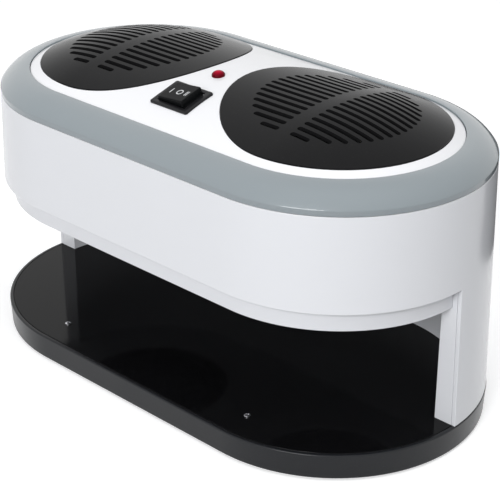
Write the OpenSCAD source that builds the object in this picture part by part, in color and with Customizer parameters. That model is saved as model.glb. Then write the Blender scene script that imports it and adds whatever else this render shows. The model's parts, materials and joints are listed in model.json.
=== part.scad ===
// Twin-fan nail polish dryer: a pill-shaped blower housing carried over a black base
// by a closed rear wall and two legs. +Z up, origin on the table under its middle,
// the open front faces -Y. Millimetres.

/* [Plan] */
// Distance between the centres of the two round ends
span = 160; // [150:1:172]
// Radius of the round ends of the outer shell where it stands on the base
shell_foot_r = 97; // [96:0.5:101]
// Inward lean of the outer shell, in degrees
shell_lean = 1.22; // [0.6:0.02:1.5]
// Thickness of the legs and of the rear wall at the base
leg_t = 15; // [14.5:0.5:17]

/* [Heights] */
// Height of the base
base_h = 16.3; // [14:0.1:20]
// Clear height of the space for the hand or foot
hand_h = 76.4; // [66:0.1:90]
// Height of the set-back lip band under the shell's front edge
lip_h = 13.3; // [12:0.1:17]
// Height of the shell's front from its lower edge to the ring
body_h = 58.3; // [54:0.1:70]
// Height of the ring's upright outer band
band_h = 3.4; // [3:0.1:6]
// Rise of the ring's rounded top above that band
ring_rise = 10.6; // [8:0.1:12]
// Rise of the crowned cover from its edge to its middle
crown_rise = 17; // [16:0.1:20]
// How far the rubber feet stand out of the base
foot_proud = 1.5; // [1:0.1:2.5]

/* [Walls] */
// Wall of the outer shell
shell_wall = 2.6; // [2.2:0.1:3]
// Wall of the rear liner and of the lip band
liner_wall = 2.2; // [1.8:0.1:2.6]
// Thickness of the housing's floor
pan_t = 2.5; // [2:0.1:3]
// Thickness of the crowned cover
cover_t = 2.5; // [2.3:0.1:3]
// Thickness of the ring
ring_t = 2.4; // [2:0.1:3]
// Thickness of the base's glossy panel
panel_t = 3; // [2.5:0.1:4]

/* [Ring and lip] */
// Width of the ring in plan
ring_w = 19.2; // [18.5:0.1:20]
// Set-back of the lip band from the shell
lip_inset = 5.9; // [5.3:0.1:7]
// How far the cover's edge lies below the ring's inner edge
cover_sink = 1; // [0.5:0.1:2]
// How far the base stands out past the shell
base_margin = 0.4; // [0.2:0.1:3]
// How far the base narrows towards its underside
base_undercut = 0.9; // [0.4:0.1:1.5]

/* [Intake grilles] */
// Radius of each intake grille
grille_r = 67.4; // [64:0.1:67.6]
// How far the grilles stand above the cover
grille_proud = 0.5; // [0.4:0.1:1.2]
// Radius of the round field of slots
slot_field_r = 48.5; // [46:0.5:52]
// Distance from slot to slot
slot_pitch = 6; // [5.5:0.1:6.4]
// Width of a slot
slot_w = 3.2; // [2.4:0.1:3.4]
// Rows of slots
slot_rows = 16; // [12:2:16]
// Width of the bar down the middle of the slots
spine_w = 9; // [7:0.5:12]

/* [Switch and lamp] */
// Length of the switch bezel, across the object
bezel_l = 30.6; // [29:0.1:32]
// Width of the switch bezel, up the slope
bezel_w = 23.8; // [21.6:0.1:25]
// Distance from the object's middle to the switch
switch_y = 46.9; // [42:0.1:49]
// Tilt of the rocker to either side, in degrees
rocker_tilt = 6; // [4:0.5:10]
// Distance from the object's middle to the lamp
lamp_y = 16; // [14:0.5:22]
// Radius of the lamp's lens
lamp_r = 4.1; // [3.8:0.1:5]

/* [Fans and heaters] */
// Side of each square fan
fan_size = 119; // [116:1:120]
// Depth of each fan
fan_t = 25.4; // [25:0.1:28]
// Number of blades
blades = 7; // [5:1:9]
// Height of each heater
heater_h = 16; // [12:0.5:20]
// Inner radius of the air ducts round the heaters
duct_r = 56; // [55:0.5:57]

/* [Fits and screws] */
// Gap between pieces that are dropped into each other
fit = 0.3; // [0.2:0.05:0.4]
// Gap all round the shafts and the rocker's pins
running = 0.03; // [0.02:0.01:0.08]
// Diameter of the long housing screws
long_screw_d = 4; // [3.5:0.1:4.2]
// Diameter of the other screws
screw_d = 3; // [2.6:0.1:3.2]

/* [Hidden] */
$fn = 96;
LEFT = -1;
RIGHT = 1;
SIDES = [LEFT, RIGHT];
far = 400;

half = span / 2;
lean = tan(shell_lean);

// Levels, from the table upwards
base_top = foot_proud + base_h;
lip_z = base_top + hand_h;
floor_z = lip_z + pan_t;
skirt_z = lip_z + lip_h;
ring_z = skirt_z + body_h;
band_z = ring_z + band_h;
ring_in_z = band_z + ring_rise;
cover_edge_z = ring_in_z - cover_sink;
cover_rim_h = 3;
seat_z = cover_edge_z - cover_rim_h;
crown_top_z = cover_edge_z + crown_rise;

// Radii about the centres of the round ends
function shell_r(z) = shell_foot_r - (z - base_top) * lean;
base_r = shell_foot_r + base_margin;
hand_r = shell_foot_r - leg_t;
lip_r = shell_r(skirt_z) - lip_inset;
ring_r = shell_r(ring_z);
ring_in_r = ring_r - ring_w;
cover_r = ring_in_r - fit;
crown_r = (cover_r * cover_r + crown_rise * crown_rise) / (2 * crown_rise);
crown_zc = crown_top_z - crown_r;
function crown_z(y) = crown_zc + sqrt(crown_r * crown_r - y * y);

// Screw bosses
pilot = 0.1;
clearance = 0.6;
cut = 1;
screw_hole_r = (screw_d + clearance) / 2;
screw_pilot_r = (screw_d + pilot) / 2;
long_hole_r = (long_screw_d + clearance) / 2;
long_pilot_r = (long_screw_d + pilot) / 2;
boss_r = 4;
screw_head_r = screw_d * 0.95;
screw_head_h = screw_d * 0.6;
small_head_r = screw_head_r * 0.9;
deck_pilot_h = 12;
board_pilot_h = 6;

// Housing columns: eight screws clamp the floor, the shell and the ring
column_wall = 2.5;
column_r = long_screw_d / 2 + column_wall;
column_inset = 6;
column_ring_r = hand_r - column_inset;
column_x = half - 30;
column_angle = 20;
column_seat_z = skirt_z + pan_t;
column_drop = 8;
column_top_z = ring_z - column_drop;
column_pilot_h = 12;
column_web_t = 3;
counterbore_r = long_screw_d + fit;
counterbore_h = 5;
counterbore_wall = 1.2;
guide_t = 2;
guide_h = 4;

// Fan, duct and heater stack under each intake grille
deck_t = 2.5;
fan_drop = 1.2;
fan_top_z = ring_z - fan_drop;
fan_z = fan_top_z - fan_t;
deck_z = fan_z - deck_t;
duct_h = deck_z - floor_z;
duct_wall = 1.8;
duct_out_r = duct_r + duct_wall;
outlet_r = duct_r - 5;
outlet_t = 2;
outlet_rim_r = duct_r - 2.8;
heater_r = duct_r - fit;
heater_l = 78;
heater_w = 64;
heater_sill = 2;
fan_bore_r = fan_size / 2 - 2.5;
fan_hole = fan_size / 2 - 7.25;
deck_hole_r = fan_bore_r - 4;
stack_r = max(fan_size / 2, duct_out_r);
deck_ear_x = half + stack_r + 5;
deck_x = deck_ear_x - 2;
deck_y = stack_r + 4;
deck_mid_y = 50;
deck_boss_h = 8;

// Flat pads on the duct's inner side, for the thermal cut-out and where the heater's leads leave
pad_t = 4;
pad_w = 10;
pad_x = duct_out_r + pad_t;
cutout_z = deck_z - heater_h / 2;
cutout_r = 5;
cutout_t = 5;
heater_lead_y = 15;

// Fan, about its own middle and from its underside up
fan_corner_r = 6;
fan_plate_t = 3;
hub_r = 21;
hub_wall = 2;
hub_z = 4;
hub_top = fan_t - 4;
shaft_r = 1.5;
shaft_grip = 0.8;
tube_r = 4.5;
tube_top = 16;
bearing_r = 3;
bearing_l = 4;
bearing_z = 2;
magnet_t = 4;
air_gap = 0.8;
stator_r = hub_r - hub_wall - magnet_t - air_gap;
stator_z = 5;
stator_h = 9;

// Rear wall pillars, in the wall between the liner and the shell
pillar_ring_r = hand_r + liner_wall + boss_r - 0.6;
pillar_depth = 14;
leg_angle = 8;
bend_angle = 52;
mid_x = half - 40;

// Base
tray_floor_t = 2.6;
tray_floor_z = foot_proud + tray_floor_t;
rim_w = 2.4;
panel_r = base_r - rim_w;
panel_z = base_top - panel_t;
panel_ledge_w = 2.4;
base_boss_wall = 2.7;
base_head_z = foot_proud + screw_head_h + 1;
rib_t = 2.4;
foot_r = 7;
foot_pocket = 1;
foot_taper = 1;
foot_inset = 16;
panel_screw_x = half + 1;
panel_screw_y = panel_r - 19.5;
panel_screw_h = 6;
panel_pilot_h = 8;

// Ledge inside the ring for the cover, and seats of the grilles in the cover
ring_top_r = (ring_w * ring_w + ring_rise * ring_rise) / (2 * ring_rise);
arc_steps = 12;
rib_drop = 6;
ledge_w = 5.2;
cover_screw_r = ring_in_r - ledge_w / 2;
cover_pilot_h = cover_rim_h - 0.6;
seat_depth = 1.5;
seat_w = 3.4;
hoop_t = 2;
hoop_h = 3;

// Switch, in its own tilted frame: x across the object, y up the slope
switch_slope = asin(switch_y / crown_r);
bezel_low = 0.6;
bezel_high = 1.2;
bezel_corner = 1.2;
housing_corner = 0.5;
opening_corner = 0.6;
rocker_corner = 0.8;
housing_l = bezel_l - 3.2;
housing_w = bezel_w - 2.8;
opening_l = bezel_l - 8.2;
opening_w = bezel_w - 6.1;
housing_depth = 20;
well_depth = 10;
rocker_pivot = -3;
rocker_l = opening_l - 1.6;
rocker_w = opening_w - 2 * fit;
rocker_over = 7.3;
rocker_under = 4;
rocker_pin_r = 1.5;
contact_w = 6;
contact_t = 0.8;
blade_l = 8;
blade_w = 6.3;
blade_t = 0.8;
blade_pitch = 8;

// Lamp
lamp_slope = asin(lamp_y / crown_r);
lamp_dome_h = 3.1;
lamp_stem_r = lamp_r - 1.1;
lamp_stem_l = 9;
lamp_flange_t = 0.4;
clip_t = 1;

// Board in the middle of the floor, between the ducts
board_gap = 2.2;
board = [2 * (half - duct_out_r - board_gap), 56, 1.6];
board_lift = 6;
board_z = floor_z + board_lift;
board_top = board_z + board.z;
board_hole = [board.x / 2 - 4, board.y / 2 - 4];
spacer_r = 3;

// Plugs on the board: length across the object, width, height, and place
plug_h = 8;
plug_top_z = board_top + plug_h;
side_plug = [6, 7];
side_plug_x = board.x / 2 - 5.5;
fan_plug_y = -9;
switch_plug = [18, 5];
switch_plug_y = -17;
lamp_plug = [6, 4];
supply_plug = [12, 6];
supply_plug_y = board_hole.y - 1;

// Wires
wire_r = 0.9;
lamp_wire_r = 0.6;
bend_extra = 0.2;
wire_gap = 0.4;
lead_spread = 1.6;
lamp_spread = 1.3;
fan_lead_x = side_plug_x - 3.5;
deck_window = [2 * side_plug_x - 1, 54];
deck_window_y = -16;

// Cord gland and terminal block at the rear
gland_z = lip_z + 26;
gland_r = 5;
gland_bore_r = 2.7;
gland_flange_r = 6.5;
gland_flange_t = 2;
nut_r = 8;
nut_t = 4;
gland_out_y = shell_r(gland_z - gland_flange_r);
nut_y = shell_r(gland_z + nut_r) - shell_wall;
gland_tail = 3;
block = [30, 14, 14];
block_y = hand_r - 16;
clamp_x = 7;
clamp_r = 2.4;
clamp_h = 4;
clamp_sink = 5;

WHITE = [0.93, 0.93, 0.94];
RING_GREY = [0.56, 0.60, 0.63];
GLOSS_BLACK = [0.06, 0.06, 0.07];
BLACK = [0.10, 0.10, 0.11];

// ---------------------------------------------------------------- shared shapes

// Carries a section, drawn as radius and height, round the whole pill outline.
module round_pill() {
    for (side = [0, 1]) mirror([side, 0, 0]) {
        translate([half, 0, 0]) rotate([0, 0, -90]) rotate_extrude(angle = 180) children();
        for (front = [0, 1]) mirror([0, front, 0]) rotate([90, 0, 90]) linear_extrude(half) children();
    }
}

// Carries a section round the rear half of the outline only.
module round_rear() {
    for (side = [0, 1]) mirror([side, 0, 0]) {
        translate([half, 0, 0]) rotate_extrude(angle = 90) children();
        rotate([90, 0, 90]) linear_extrude(half) children();
    }
}

// Carries a section round the front half of the outline only.
module round_front() {
    mirror([0, 1, 0]) round_rear() children();
}

// Solid pill between two levels, with its own radius at each.
module pill(z0, z1, r0, r1) {
    round_pill() polygon([[0, z0], [r0, z0], [r1, z1], [0, z1]]);
}

// Layer that follows the crown: from `high` above its surface to `low` below it.
module crown_layer(high, low, r) {
    round_pill() intersection() {
        translate([0, crown_zc]) difference() {
            circle(crown_r + high);
            circle(crown_r - low);
        }
        translate([0, seat_z]) square([r, crown_r]);
    }
}

// Screw standing head down at the origin, its shank running up +Z.
module screw(d, l, head_r, head_h) {
    difference() {
        translate([0, 0, -head_h]) cylinder(r = head_r, h = head_h);
        for (turn = [0, 90]) rotate([0, 0, turn])
            translate([-head_r * 0.6, -d * 0.1, -head_h - 1]) cube([head_r * 1.2, d * 0.2, head_h * 0.5 + 1]);
    }
    cylinder(d = d, h = l);
}

module screw_down(d, l, head_r, head_h) {
    mirror([0, 0, 1]) screw(d, l, head_r, head_h);
}

module rod(from, to, r) {
    v = to - from;
    translate(from) rotate([0, acos(v.z / norm(v)), atan2(v.y, v.x)]) cylinder(r = r, h = norm(v), $fn = 48);
}

// Wire through a list of points, thickened a little where it is bent.
module wire(points, r = wire_r) {
    for (i = [0:len(points) - 2]) rod(points[i], points[i + 1], r);
    for (i = [1:len(points) - 2]) translate(points[i]) sphere(r = r + bend_extra, $fn = 48);
}

// Places of the eight housing columns, each with its outward direction.
module at_columns() {
    for (sx = SIDES, sy = SIDES) {
        translate([sx * column_x, sy * column_ring_r, 0]) rotate([0, 0, sy * 90]) children();
        translate([sx * half, 0, 0]) rotate([0, 0, sx > 0 ? sy * column_angle : 180 - sy * column_angle])
            translate([column_ring_r, 0, 0]) children();
    }
}

// Places of the six pillars in the rear wall.
module at_pillars() {
    for (sx = SIDES) {
        translate([sx * mid_x, pillar_ring_r, 0]) children();
        for (a = [leg_angle, bend_angle])
            translate([sx * (half + pillar_ring_r * cos(a)), pillar_ring_r * sin(a), 0]) children();
    }
}

module at_panel_screws() {
    for (sx = SIDES) translate([sx * panel_screw_x, -panel_screw_y, 0]) children();
}

module at_feet() {
    for (sx = SIDES, sy = SIDES) translate([sx * (half + base_r * 0.3), sy * base_r * 0.68, 0]) children();
    for (sy = SIDES) translate([0, sy * (base_r - foot_inset), 0]) children();
}

module at_cover_screws() {
    for (sx = SIDES, sy = SIDES)
        translate([sx * (half + cover_screw_r * cos(60)), sy * cover_screw_r * sin(60), 0]) children();
    for (sy = SIDES) translate([0, sy * cover_screw_r, 0]) children();
}

module at_deck_screws() {
    for (s = SIDES) {
        translate([s * deck_ear_x, 0, 0]) children();
        translate([0, s * deck_mid_y, 0]) children();
    }
}

module at_fan_holes(side) {
    for (sx = SIDES, sy = SIDES) translate([side * half + sx * fan_hole, sy * fan_hole, 0]) children();
}

module at_board_screws() {
    for (sx = SIDES, sy = SIDES) translate([sx * board_hole.x, sy * board_hole.y, 0]) children();
}

module on_switch() {
    translate([0, -switch_y, crown_z(switch_y)]) rotate([switch_slope, 0, 0]) children();
}

module on_lamp() {
    translate([0, -lamp_y, crown_z(lamp_y)]) rotate([lamp_slope, 0, 0]) children();
}

// Upright block centred in plan, from z0 to z1, with rounded corners.
module rounded_block(l, w, z0, z1, r) {
    translate([0, 0, z0]) linear_extrude(z1 - z0) {
        square([l - 2 * r, w], center = true);
        square([l, w - 2 * r], center = true);
        for (sx = SIDES, sy = SIDES) translate([sx * (l / 2 - r), sy * (w / 2 - r)]) circle(r);
    }
}

// ---------------------------------------------------------------- base

module base_tray() {
    ledge_r = panel_r - panel_ledge_w;
    color(BLACK) difference() {
        union() {
            difference() {
                pill(foot_proud, base_top, base_r - base_undercut, base_r);
                pill(panel_z, base_top + cut, panel_r, panel_r);
                pill(tray_floor_z, panel_z + cut, ledge_r, ledge_r);
            }
            intersection() {
                pill(tray_floor_z - cut, panel_z, ledge_r + cut, ledge_r + cut);
                for (i = [-3:3]) translate([i * span / 5 - rib_t / 2, -far / 2, 0])
                    cube([rib_t, far, panel_z]);
            }
            at_pillars() translate([0, 0, tray_floor_z - cut])
                cylinder(r = screw_head_r + fit + base_boss_wall, h = panel_z - tray_floor_z + cut);
            at_panel_screws() translate([0, 0, tray_floor_z - cut])
                cylinder(r = boss_r, h = panel_z - tray_floor_z + cut);
        }
        at_pillars() {
            cylinder(r = screw_hole_r, h = far);
            translate([0, 0, -cut]) cylinder(r = screw_head_r + fit, h = base_head_z + cut);
        }
        at_panel_screws() translate([0, 0, panel_z - panel_pilot_h])
            cylinder(r = screw_pilot_r, h = panel_pilot_h + cut);
        at_feet() translate([0, 0, -cut]) cylinder(r = foot_r + fit / 2, h = foot_proud + foot_pocket + cut);
    }
}

module base_panel() {
    color(GLOSS_BLACK) difference() {
        pill(panel_z, base_top, panel_r - fit, panel_r - fit);
        at_pillars() cylinder(r = screw_hole_r, h = far);
        at_panel_screws() cylinder(r = screw_hole_r, h = far);
    }
}

module rubber_feet() {
    color([0.2, 0.2, 0.2]) at_feet() {
        cylinder(r1 = foot_r - foot_taper, r2 = foot_r, h = foot_proud);
        translate([0, 0, foot_proud]) cylinder(r = foot_r, h = foot_pocket);
    }
}

module base_screws() {
    color("silver") at_pillars() translate([0, 0, base_head_z])
        screw(screw_d, base_top + pillar_depth - 2 - base_head_z, screw_head_r, screw_head_h);
}

module panel_screws() {
    color("silver") at_panel_screws() translate([0, 0, base_top])
        screw_down(screw_d, panel_t + panel_screw_h, screw_head_r * 0.8, screw_head_h * 0.7);
}

// ---------------------------------------------------------------- housing

module outer_shell() {
    web_r = shell_r(column_top_z) - shell_wall / 2;
    color(WHITE) difference() {
        union() {
            round_rear() polygon([[shell_foot_r - shell_wall, base_top], [shell_foot_r, base_top],
                [ring_r, ring_z], [ring_r - shell_wall, ring_z]]);
            round_front() polygon([[shell_r(skirt_z) - shell_wall, skirt_z], [shell_r(skirt_z), skirt_z],
                [ring_r, ring_z], [ring_r - shell_wall, ring_z]]);
            at_columns() {
                translate([0, 0, column_seat_z]) cylinder(r = column_r, h = column_top_z - column_seat_z);
                translate([0, -column_web_t / 2, column_seat_z])
                    cube([web_r - column_ring_r, column_web_t, column_top_z - column_seat_z]);
            }
        }
        at_columns() cylinder(r = long_hole_r, h = far);
        translate([0, hand_r, gland_z]) rotate([-90, 0, 0]) cylinder(r = gland_r + pilot, h = far);
    }
}

module rear_liner() {
    inner_skin = shell_foot_r - shell_wall - fit;
    color(WHITE) difference() {
        union() {
            round_rear() translate([hand_r, base_top]) square([liner_wall, hand_h]);
            intersection() {
                round_rear() polygon([[hand_r, base_top], [inner_skin, base_top],
                    [inner_skin - (skirt_z - base_top) * lean, skirt_z], [lip_r + fit, skirt_z],
                    [lip_r + fit, lip_z], [hand_r, lip_z]]);
                translate([-far / 2, 0, 0]) cube([far, liner_wall, skirt_z]);
            }
            at_pillars() translate([0, 0, base_top]) cylinder(r = boss_r, h = hand_h);
        }
        at_pillars() translate([0, 0, base_top - cut]) cylinder(r = screw_pilot_r, h = pillar_depth + cut);
    }
}

module roof_pan() {
    wall_r = lip_r - liner_wall;
    rear_r = shell_r(column_seat_z) - shell_wall - fit;
    rear_start = liner_wall + fit;
    guide_r = duct_out_r + fit;
    color(WHITE) difference() {
        union() {
            pill(lip_z, floor_z, lip_r, lip_r);
            round_front() polygon([[wall_r, lip_z], [lip_r, lip_z], [lip_r, skirt_z], [rear_r, skirt_z],
                [rear_r, column_seat_z], [wall_r, column_seat_z]]);
            intersection() {
                round_rear() translate([wall_r, lip_z]) square([rear_r - wall_r, pan_t]);
                translate([-far / 2, rear_start, 0]) cube([far, far, far]);
            }
            at_columns() translate([0, 0, lip_z])
                cylinder(r = counterbore_r + counterbore_wall, h = column_seat_z - lip_z);
            at_deck_screws() translate([0, 0, lip_z]) cylinder(r = boss_r, h = deck_z - lip_z);
            at_board_screws() translate([0, 0, lip_z]) cylinder(r = spacer_r, h = board_z - lip_z);
            for (s = SIDES) translate([s * half, 0, floor_z]) difference() {
                cylinder(r = guide_r + guide_t, h = guide_h);
                cylinder(r = guide_r, h = guide_h + cut);
            }
        }
        at_columns() {
            cylinder(r = long_hole_r, h = far);
            translate([0, 0, lip_z - cut]) cylinder(r = counterbore_r, h = counterbore_h + cut);
        }
        for (s = SIDES) translate([s * half, 0, 0]) cylinder(r = outlet_r, h = far);
        at_deck_screws() translate([0, 0, deck_z - deck_pilot_h])
            cylinder(r = screw_pilot_r, h = deck_pilot_h + cut);
        at_board_screws() translate([0, 0, board_z - board_pilot_h])
            cylinder(r = screw_pilot_r, h = board_pilot_h + cut);
    }
}

// Rounded top of the ring as radius and height, `inset` below its surface.
function ring_arc(inset) = [for (i = [0:arc_steps]) let (a = (1 - i / arc_steps) * asin(ring_w / ring_top_r))
    [ring_in_r + (ring_top_r - inset) * sin(a), ring_in_z - ring_top_r + (ring_top_r - inset) * cos(a)]];

module top_ring() {
    rib_out_r = ring_r - shell_wall - fit;
    rib_in_r = rib_out_r - ring_t;
    ledge_r = ring_in_r - ledge_w;
    inner_arc = [for (p = ring_arc(ring_t)) if (p.x < rib_in_r && p.x > ring_in_r + ring_t) p];
    color(RING_GREY) difference() {
        union() {
            round_pill() polygon(concat([[rib_out_r, ring_z], [ring_r, ring_z]],
                ring_arc(0), [[ring_in_r, seat_z], [ledge_r, seat_z], [ledge_r, seat_z - ring_t],
                [ring_in_r + ring_t, seat_z - ring_t]],
                [for (i = [len(inner_arc) - 1:-1:0]) inner_arc[i]],
                [[rib_in_r, band_z], [rib_in_r, ring_z - rib_drop], [rib_out_r, ring_z - rib_drop]]));
            at_columns() translate([0, 0, column_top_z])
                cylinder(r = column_r, h = seat_z - column_top_z - ring_t / 2);
        }
        at_columns() translate([0, 0, column_top_z - cut])
            cylinder(r = long_pilot_r, h = column_pilot_h + cut);
        at_cover_screws() translate([0, 0, seat_z - ring_t - cut])
            cylinder(r = screw_hole_r, h = ring_t + 2 * cut);
    }
}

module crown_cover() {
    rim_in_r = ring_in_r - ledge_w;
    color(WHITE) difference() {
        union() {
            crown_layer(0, cover_t, cover_r);
            intersection() {
                crown_layer(0, cover_rim_h * 3, cover_r);
                round_pill() translate([rim_in_r, seat_z]) square([cover_r - rim_in_r, crown_rise]);
            }
        }
        intersection() {
            crown_layer(cover_rim_h, seat_depth, cover_r);
            for (s = SIDES) translate([s * half, 0, 0]) cylinder(r = grille_r + fit, h = far);
        }
        for (s = SIDES) translate([s * half, 0, 0]) cylinder(r = grille_r - seat_w, h = far);
        on_switch() {
            rounded_block(bezel_l + 2 * fit, bezel_w + 2 * fit, -bezel_low, crown_rise, bezel_corner + fit);
            rounded_block(housing_l + fit, housing_w + fit, -crown_rise, crown_rise, housing_corner + pilot);
        }
        on_lamp() {
            translate([0, 0, -lamp_stem_l]) cylinder(r = lamp_stem_r + pilot, h = 2 * lamp_stem_l);
            translate([0, 0, -lamp_flange_t]) cylinder(r = lamp_r + fit / 2, h = lamp_stem_l);
        }
        at_cover_screws() translate([0, 0, seat_z - cut]) cylinder(r = screw_pilot_r, h = cover_pilot_h + cut);
    }
}

// Half-length of a slot in the row `y` away from the grille's middle.
function slot_end(y) = sqrt(slot_field_r * slot_field_r - y * y);

module slot(y) {
    r = slot_w / 2;
    from = spine_w / 2 + r;
    to = slot_end(y) - r;
    for (s = SIDES) {
        translate([s > 0 ? from : -to, y - r, 0]) cube([to - from, slot_w, far]);
        for (x = [from, to]) translate([s * x, y, 0]) cylinder(r = r, h = far);
    }
}

module intake_grille(side) {
    hoop_r = grille_r - seat_w - fit;
    color(GLOSS_BLACK) difference() {
        union() {
            intersection() {
                crown_layer(grille_proud, seat_depth, far);
                translate([side * half, 0, 0]) cylinder(r = grille_r, h = far);
            }
            intersection() {
                crown_layer(0, seat_depth + hoop_h, far);
                translate([side * half, 0, 0]) difference() {
                    cylinder(r = hoop_r, h = far);
                    cylinder(r = hoop_r - hoop_t, h = far);
                }
            }
        }
        translate([side * half, 0, 0]) for (row = [0:slot_rows - 1])
            slot((row - (slot_rows - 1) / 2) * slot_pitch);
    }
}
module intake_grille_left() intake_grille(LEFT);
module intake_grille_right() intake_grille(RIGHT);

// ---------------------------------------------------------------- air path

module outlet_grille(side) {
    gap = 3.6;
    bar = 2.8;
    spoke = 2.4;
    rings = floor(outlet_r / (gap + bar));
    color(BLACK) translate([side * half, 0, floor_z]) {
        difference() {
            cylinder(r = outlet_rim_r, h = outlet_t);
            translate([0, 0, -cut]) cylinder(r = outlet_r - 1, h = outlet_t + 2 * cut);
        }
        for (i = [1:rings - 1]) difference() {
            cylinder(r = i * (gap + bar) + bar / 2, h = outlet_t);
            translate([0, 0, -cut]) cylinder(r = i * (gap + bar) - bar / 2, h = outlet_t + 2 * cut);
        }
        cylinder(r = bar, h = outlet_t);
        for (a = [0:45:315]) rotate([0, 0, a]) translate([1, -spoke / 2, 0])
            cube([outlet_r, spoke, outlet_t]);
    }
}
module outlet_grille_left() outlet_grille(LEFT);
module outlet_grille_right() outlet_grille(RIGHT);

module air_duct(side) {
    pocket_r = outlet_rim_r + fit;
    pocket_h = outlet_t + fit;
    color("dimgray") translate([side * half, 0, floor_z]) difference() {
        union() {
            rotate_extrude() polygon([[pocket_r, 0], [duct_out_r, 0], [duct_out_r, duct_h], [duct_r, duct_h],
                [duct_r, duct_h - heater_h], [outlet_r, duct_h - heater_h], [outlet_r, pocket_h],
                [pocket_r, pocket_h]]);
            for (y = [0, heater_lead_y])
                translate([side > 0 ? -pad_x : duct_r, y - pad_w / 2, duct_h - heater_h])
                    cube([pad_x - duct_r, pad_w, heater_h - 2]);
        }
        translate([0, 0, duct_h - heater_h]) cylinder(r = duct_r, h = heater_h + cut);
    }
}
module air_duct_left() air_duct(LEFT);
module air_duct_right() air_duct(RIGHT);

module heater_frame(side) {
    color("saddlebrown") translate([side * half, 0, deck_z - heater_h]) difference() {
        cylinder(r = heater_r, h = heater_h);
        translate([-heater_l / 2, -heater_w / 2, heater_sill]) cube([heater_l, heater_w, heater_h]);
        translate([heater_sill - heater_l / 2, heater_sill - heater_w / 2, -cut])
            cube([heater_l - 2 * heater_sill, heater_w - 2 * heater_sill, heater_h]);
    }
}
module heater_frame_left() heater_frame(LEFT);
module heater_frame_right() heater_frame(RIGHT);

module heater_element(side) {
    h = heater_h - heater_sill;
    l = heater_l - fit;
    w = heater_w - fit;
    bars = 4;
    bar = 4;
    fins = 16;
    fin = 1;
    color("lightgray") translate([side * half, 0, deck_z - h]) {
        for (i = [0:bars - 1]) translate([-l / 2, -w / 2 + i * (w - bar) / (bars - 1), 0]) cube([l, bar, h]);
        for (i = [0:fins - 1]) translate([-l / 2 + i * (l - fin) / (fins - 1), -w / 2, 0]) cube([fin, w, h]);
    }
}
module heater_element_left() heater_element(LEFT);
module heater_element_right() heater_element(RIGHT);

module thermal_cutout(side) {
    flange = [8, 14, 1];
    tab = [3, 0.8, 5];
    color("tan") translate([side * (half - pad_x), 0, cutout_z]) rotate([0, -side * 90, 0]) {
        cylinder(r = cutout_r, h = cutout_t);
        translate([-flange.x / 2, -flange.y / 2, 0]) cube(flange);
        for (s = SIDES) translate([-tab.x / 2, s * 3 - tab.y / 2, cutout_t - 1]) cube(tab);
    }
}
module thermal_cutout_left() thermal_cutout(LEFT);
module thermal_cutout_right() thermal_cutout(RIGHT);

// ---------------------------------------------------------------- fans

module fan_deck() {
    ear_r = boss_r + 1.5;
    color("gray") difference() {
        union() {
            intersection() {
                translate([-deck_x, -deck_y, deck_z]) cube([2 * deck_x, 2 * deck_y, deck_t]);
                pill(deck_z, fan_z, ring_r - shell_wall - 2, ring_r - shell_wall - 2);
            }
            for (s = SIDES) translate([s * deck_ear_x, 0, deck_z]) cylinder(r = ear_r, h = deck_t);
            for (side = SIDES) at_fan_holes(side) translate([0, 0, deck_z - deck_boss_h])
                cylinder(r = boss_r, h = deck_boss_h + deck_t / 2);
        }
        for (s = SIDES) translate([s * half, 0, 0]) cylinder(r = deck_hole_r, h = far);
        for (side = SIDES) at_fan_holes(side) cylinder(r = screw_pilot_r, h = far);
        at_deck_screws() cylinder(r = screw_hole_r, h = far);
        translate([-deck_window.x / 2, deck_window_y - deck_window.y / 2, 0])
            cube([deck_window.x, deck_window.y, far]);
    }
}

module at_fan(side) {
    translate([side * half, 0, fan_z]) children();
}

module fan_frame(side) {
    color(BLACK) at_fan(side) difference() {
        union() {
            difference() {
                rounded_block(fan_size, fan_size, 0, fan_t, fan_corner_r);
                translate([0, 0, -cut]) cylinder(r = fan_bore_r, h = fan_t + 2 * cut);
            }
            cylinder(r = hub_r - 1, h = fan_plate_t);
            for (a = [45:90:315]) rotate([0, 0, a]) translate([hub_r - fan_plate_t, -fan_plate_t, 0])
                cube([fan_bore_r - hub_r + fan_plate_t + 1, 2 * fan_plate_t, fan_plate_t]);
            cylinder(r = tube_r, h = tube_top);
        }
        translate([0, 0, bearing_z]) cylinder(r = bearing_r, h = fan_t);
        for (sx = SIDES, sy = SIDES) translate([sx * fan_hole, sy * fan_hole, -cut])
            cylinder(r = screw_hole_r, h = fan_t + 2 * cut);
    }
}
module fan_frame_left() fan_frame(LEFT);
module fan_frame_right() fan_frame(RIGHT);

module fan_stator(side) {
    core_r = tube_r + 3;
    pole_w = 5;
    shoe_t = 1.6;
    shoe_gap = 4;
    color("chocolate") at_fan(side) translate([0, 0, stator_z]) difference() {
        union() {
            cylinder(r = core_r, h = stator_h);
            intersection() {
                cylinder(r = stator_r, h = stator_h);
                for (a = [0, 90]) rotate([0, 0, a]) translate([-stator_r, -pole_w / 2, 0])
                    cube([2 * stator_r, pole_w, stator_h]);
            }
            difference() {
                cylinder(r = stator_r, h = stator_h);
                translate([0, 0, -cut]) cylinder(r = stator_r - shoe_t, h = stator_h + 2 * cut);
                for (a = [45, 135]) rotate([0, 0, a]) translate([-hub_r, -shoe_gap / 2, -cut])
                    cube([2 * hub_r, shoe_gap, stator_h + 2 * cut]);
            }
        }
        translate([0, 0, -cut]) cylinder(r = tube_r, h = fan_t);
    }
}
module fan_stator_left() fan_stator(LEFT);
module fan_stator_right() fan_stator(RIGHT);

module fan_bearings(side) {
    color("gold") at_fan(side) for (z = [bearing_z, tube_top - bearing_l]) translate([0, 0, z]) difference() {
        cylinder(r = bearing_r, h = bearing_l);
        translate([0, 0, -cut]) cylinder(r = shaft_r + running, h = bearing_l + 2 * cut);
    }
}
module fan_bearings_left() fan_bearings(LEFT);
module fan_bearings_right() fan_bearings(RIGHT);

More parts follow.
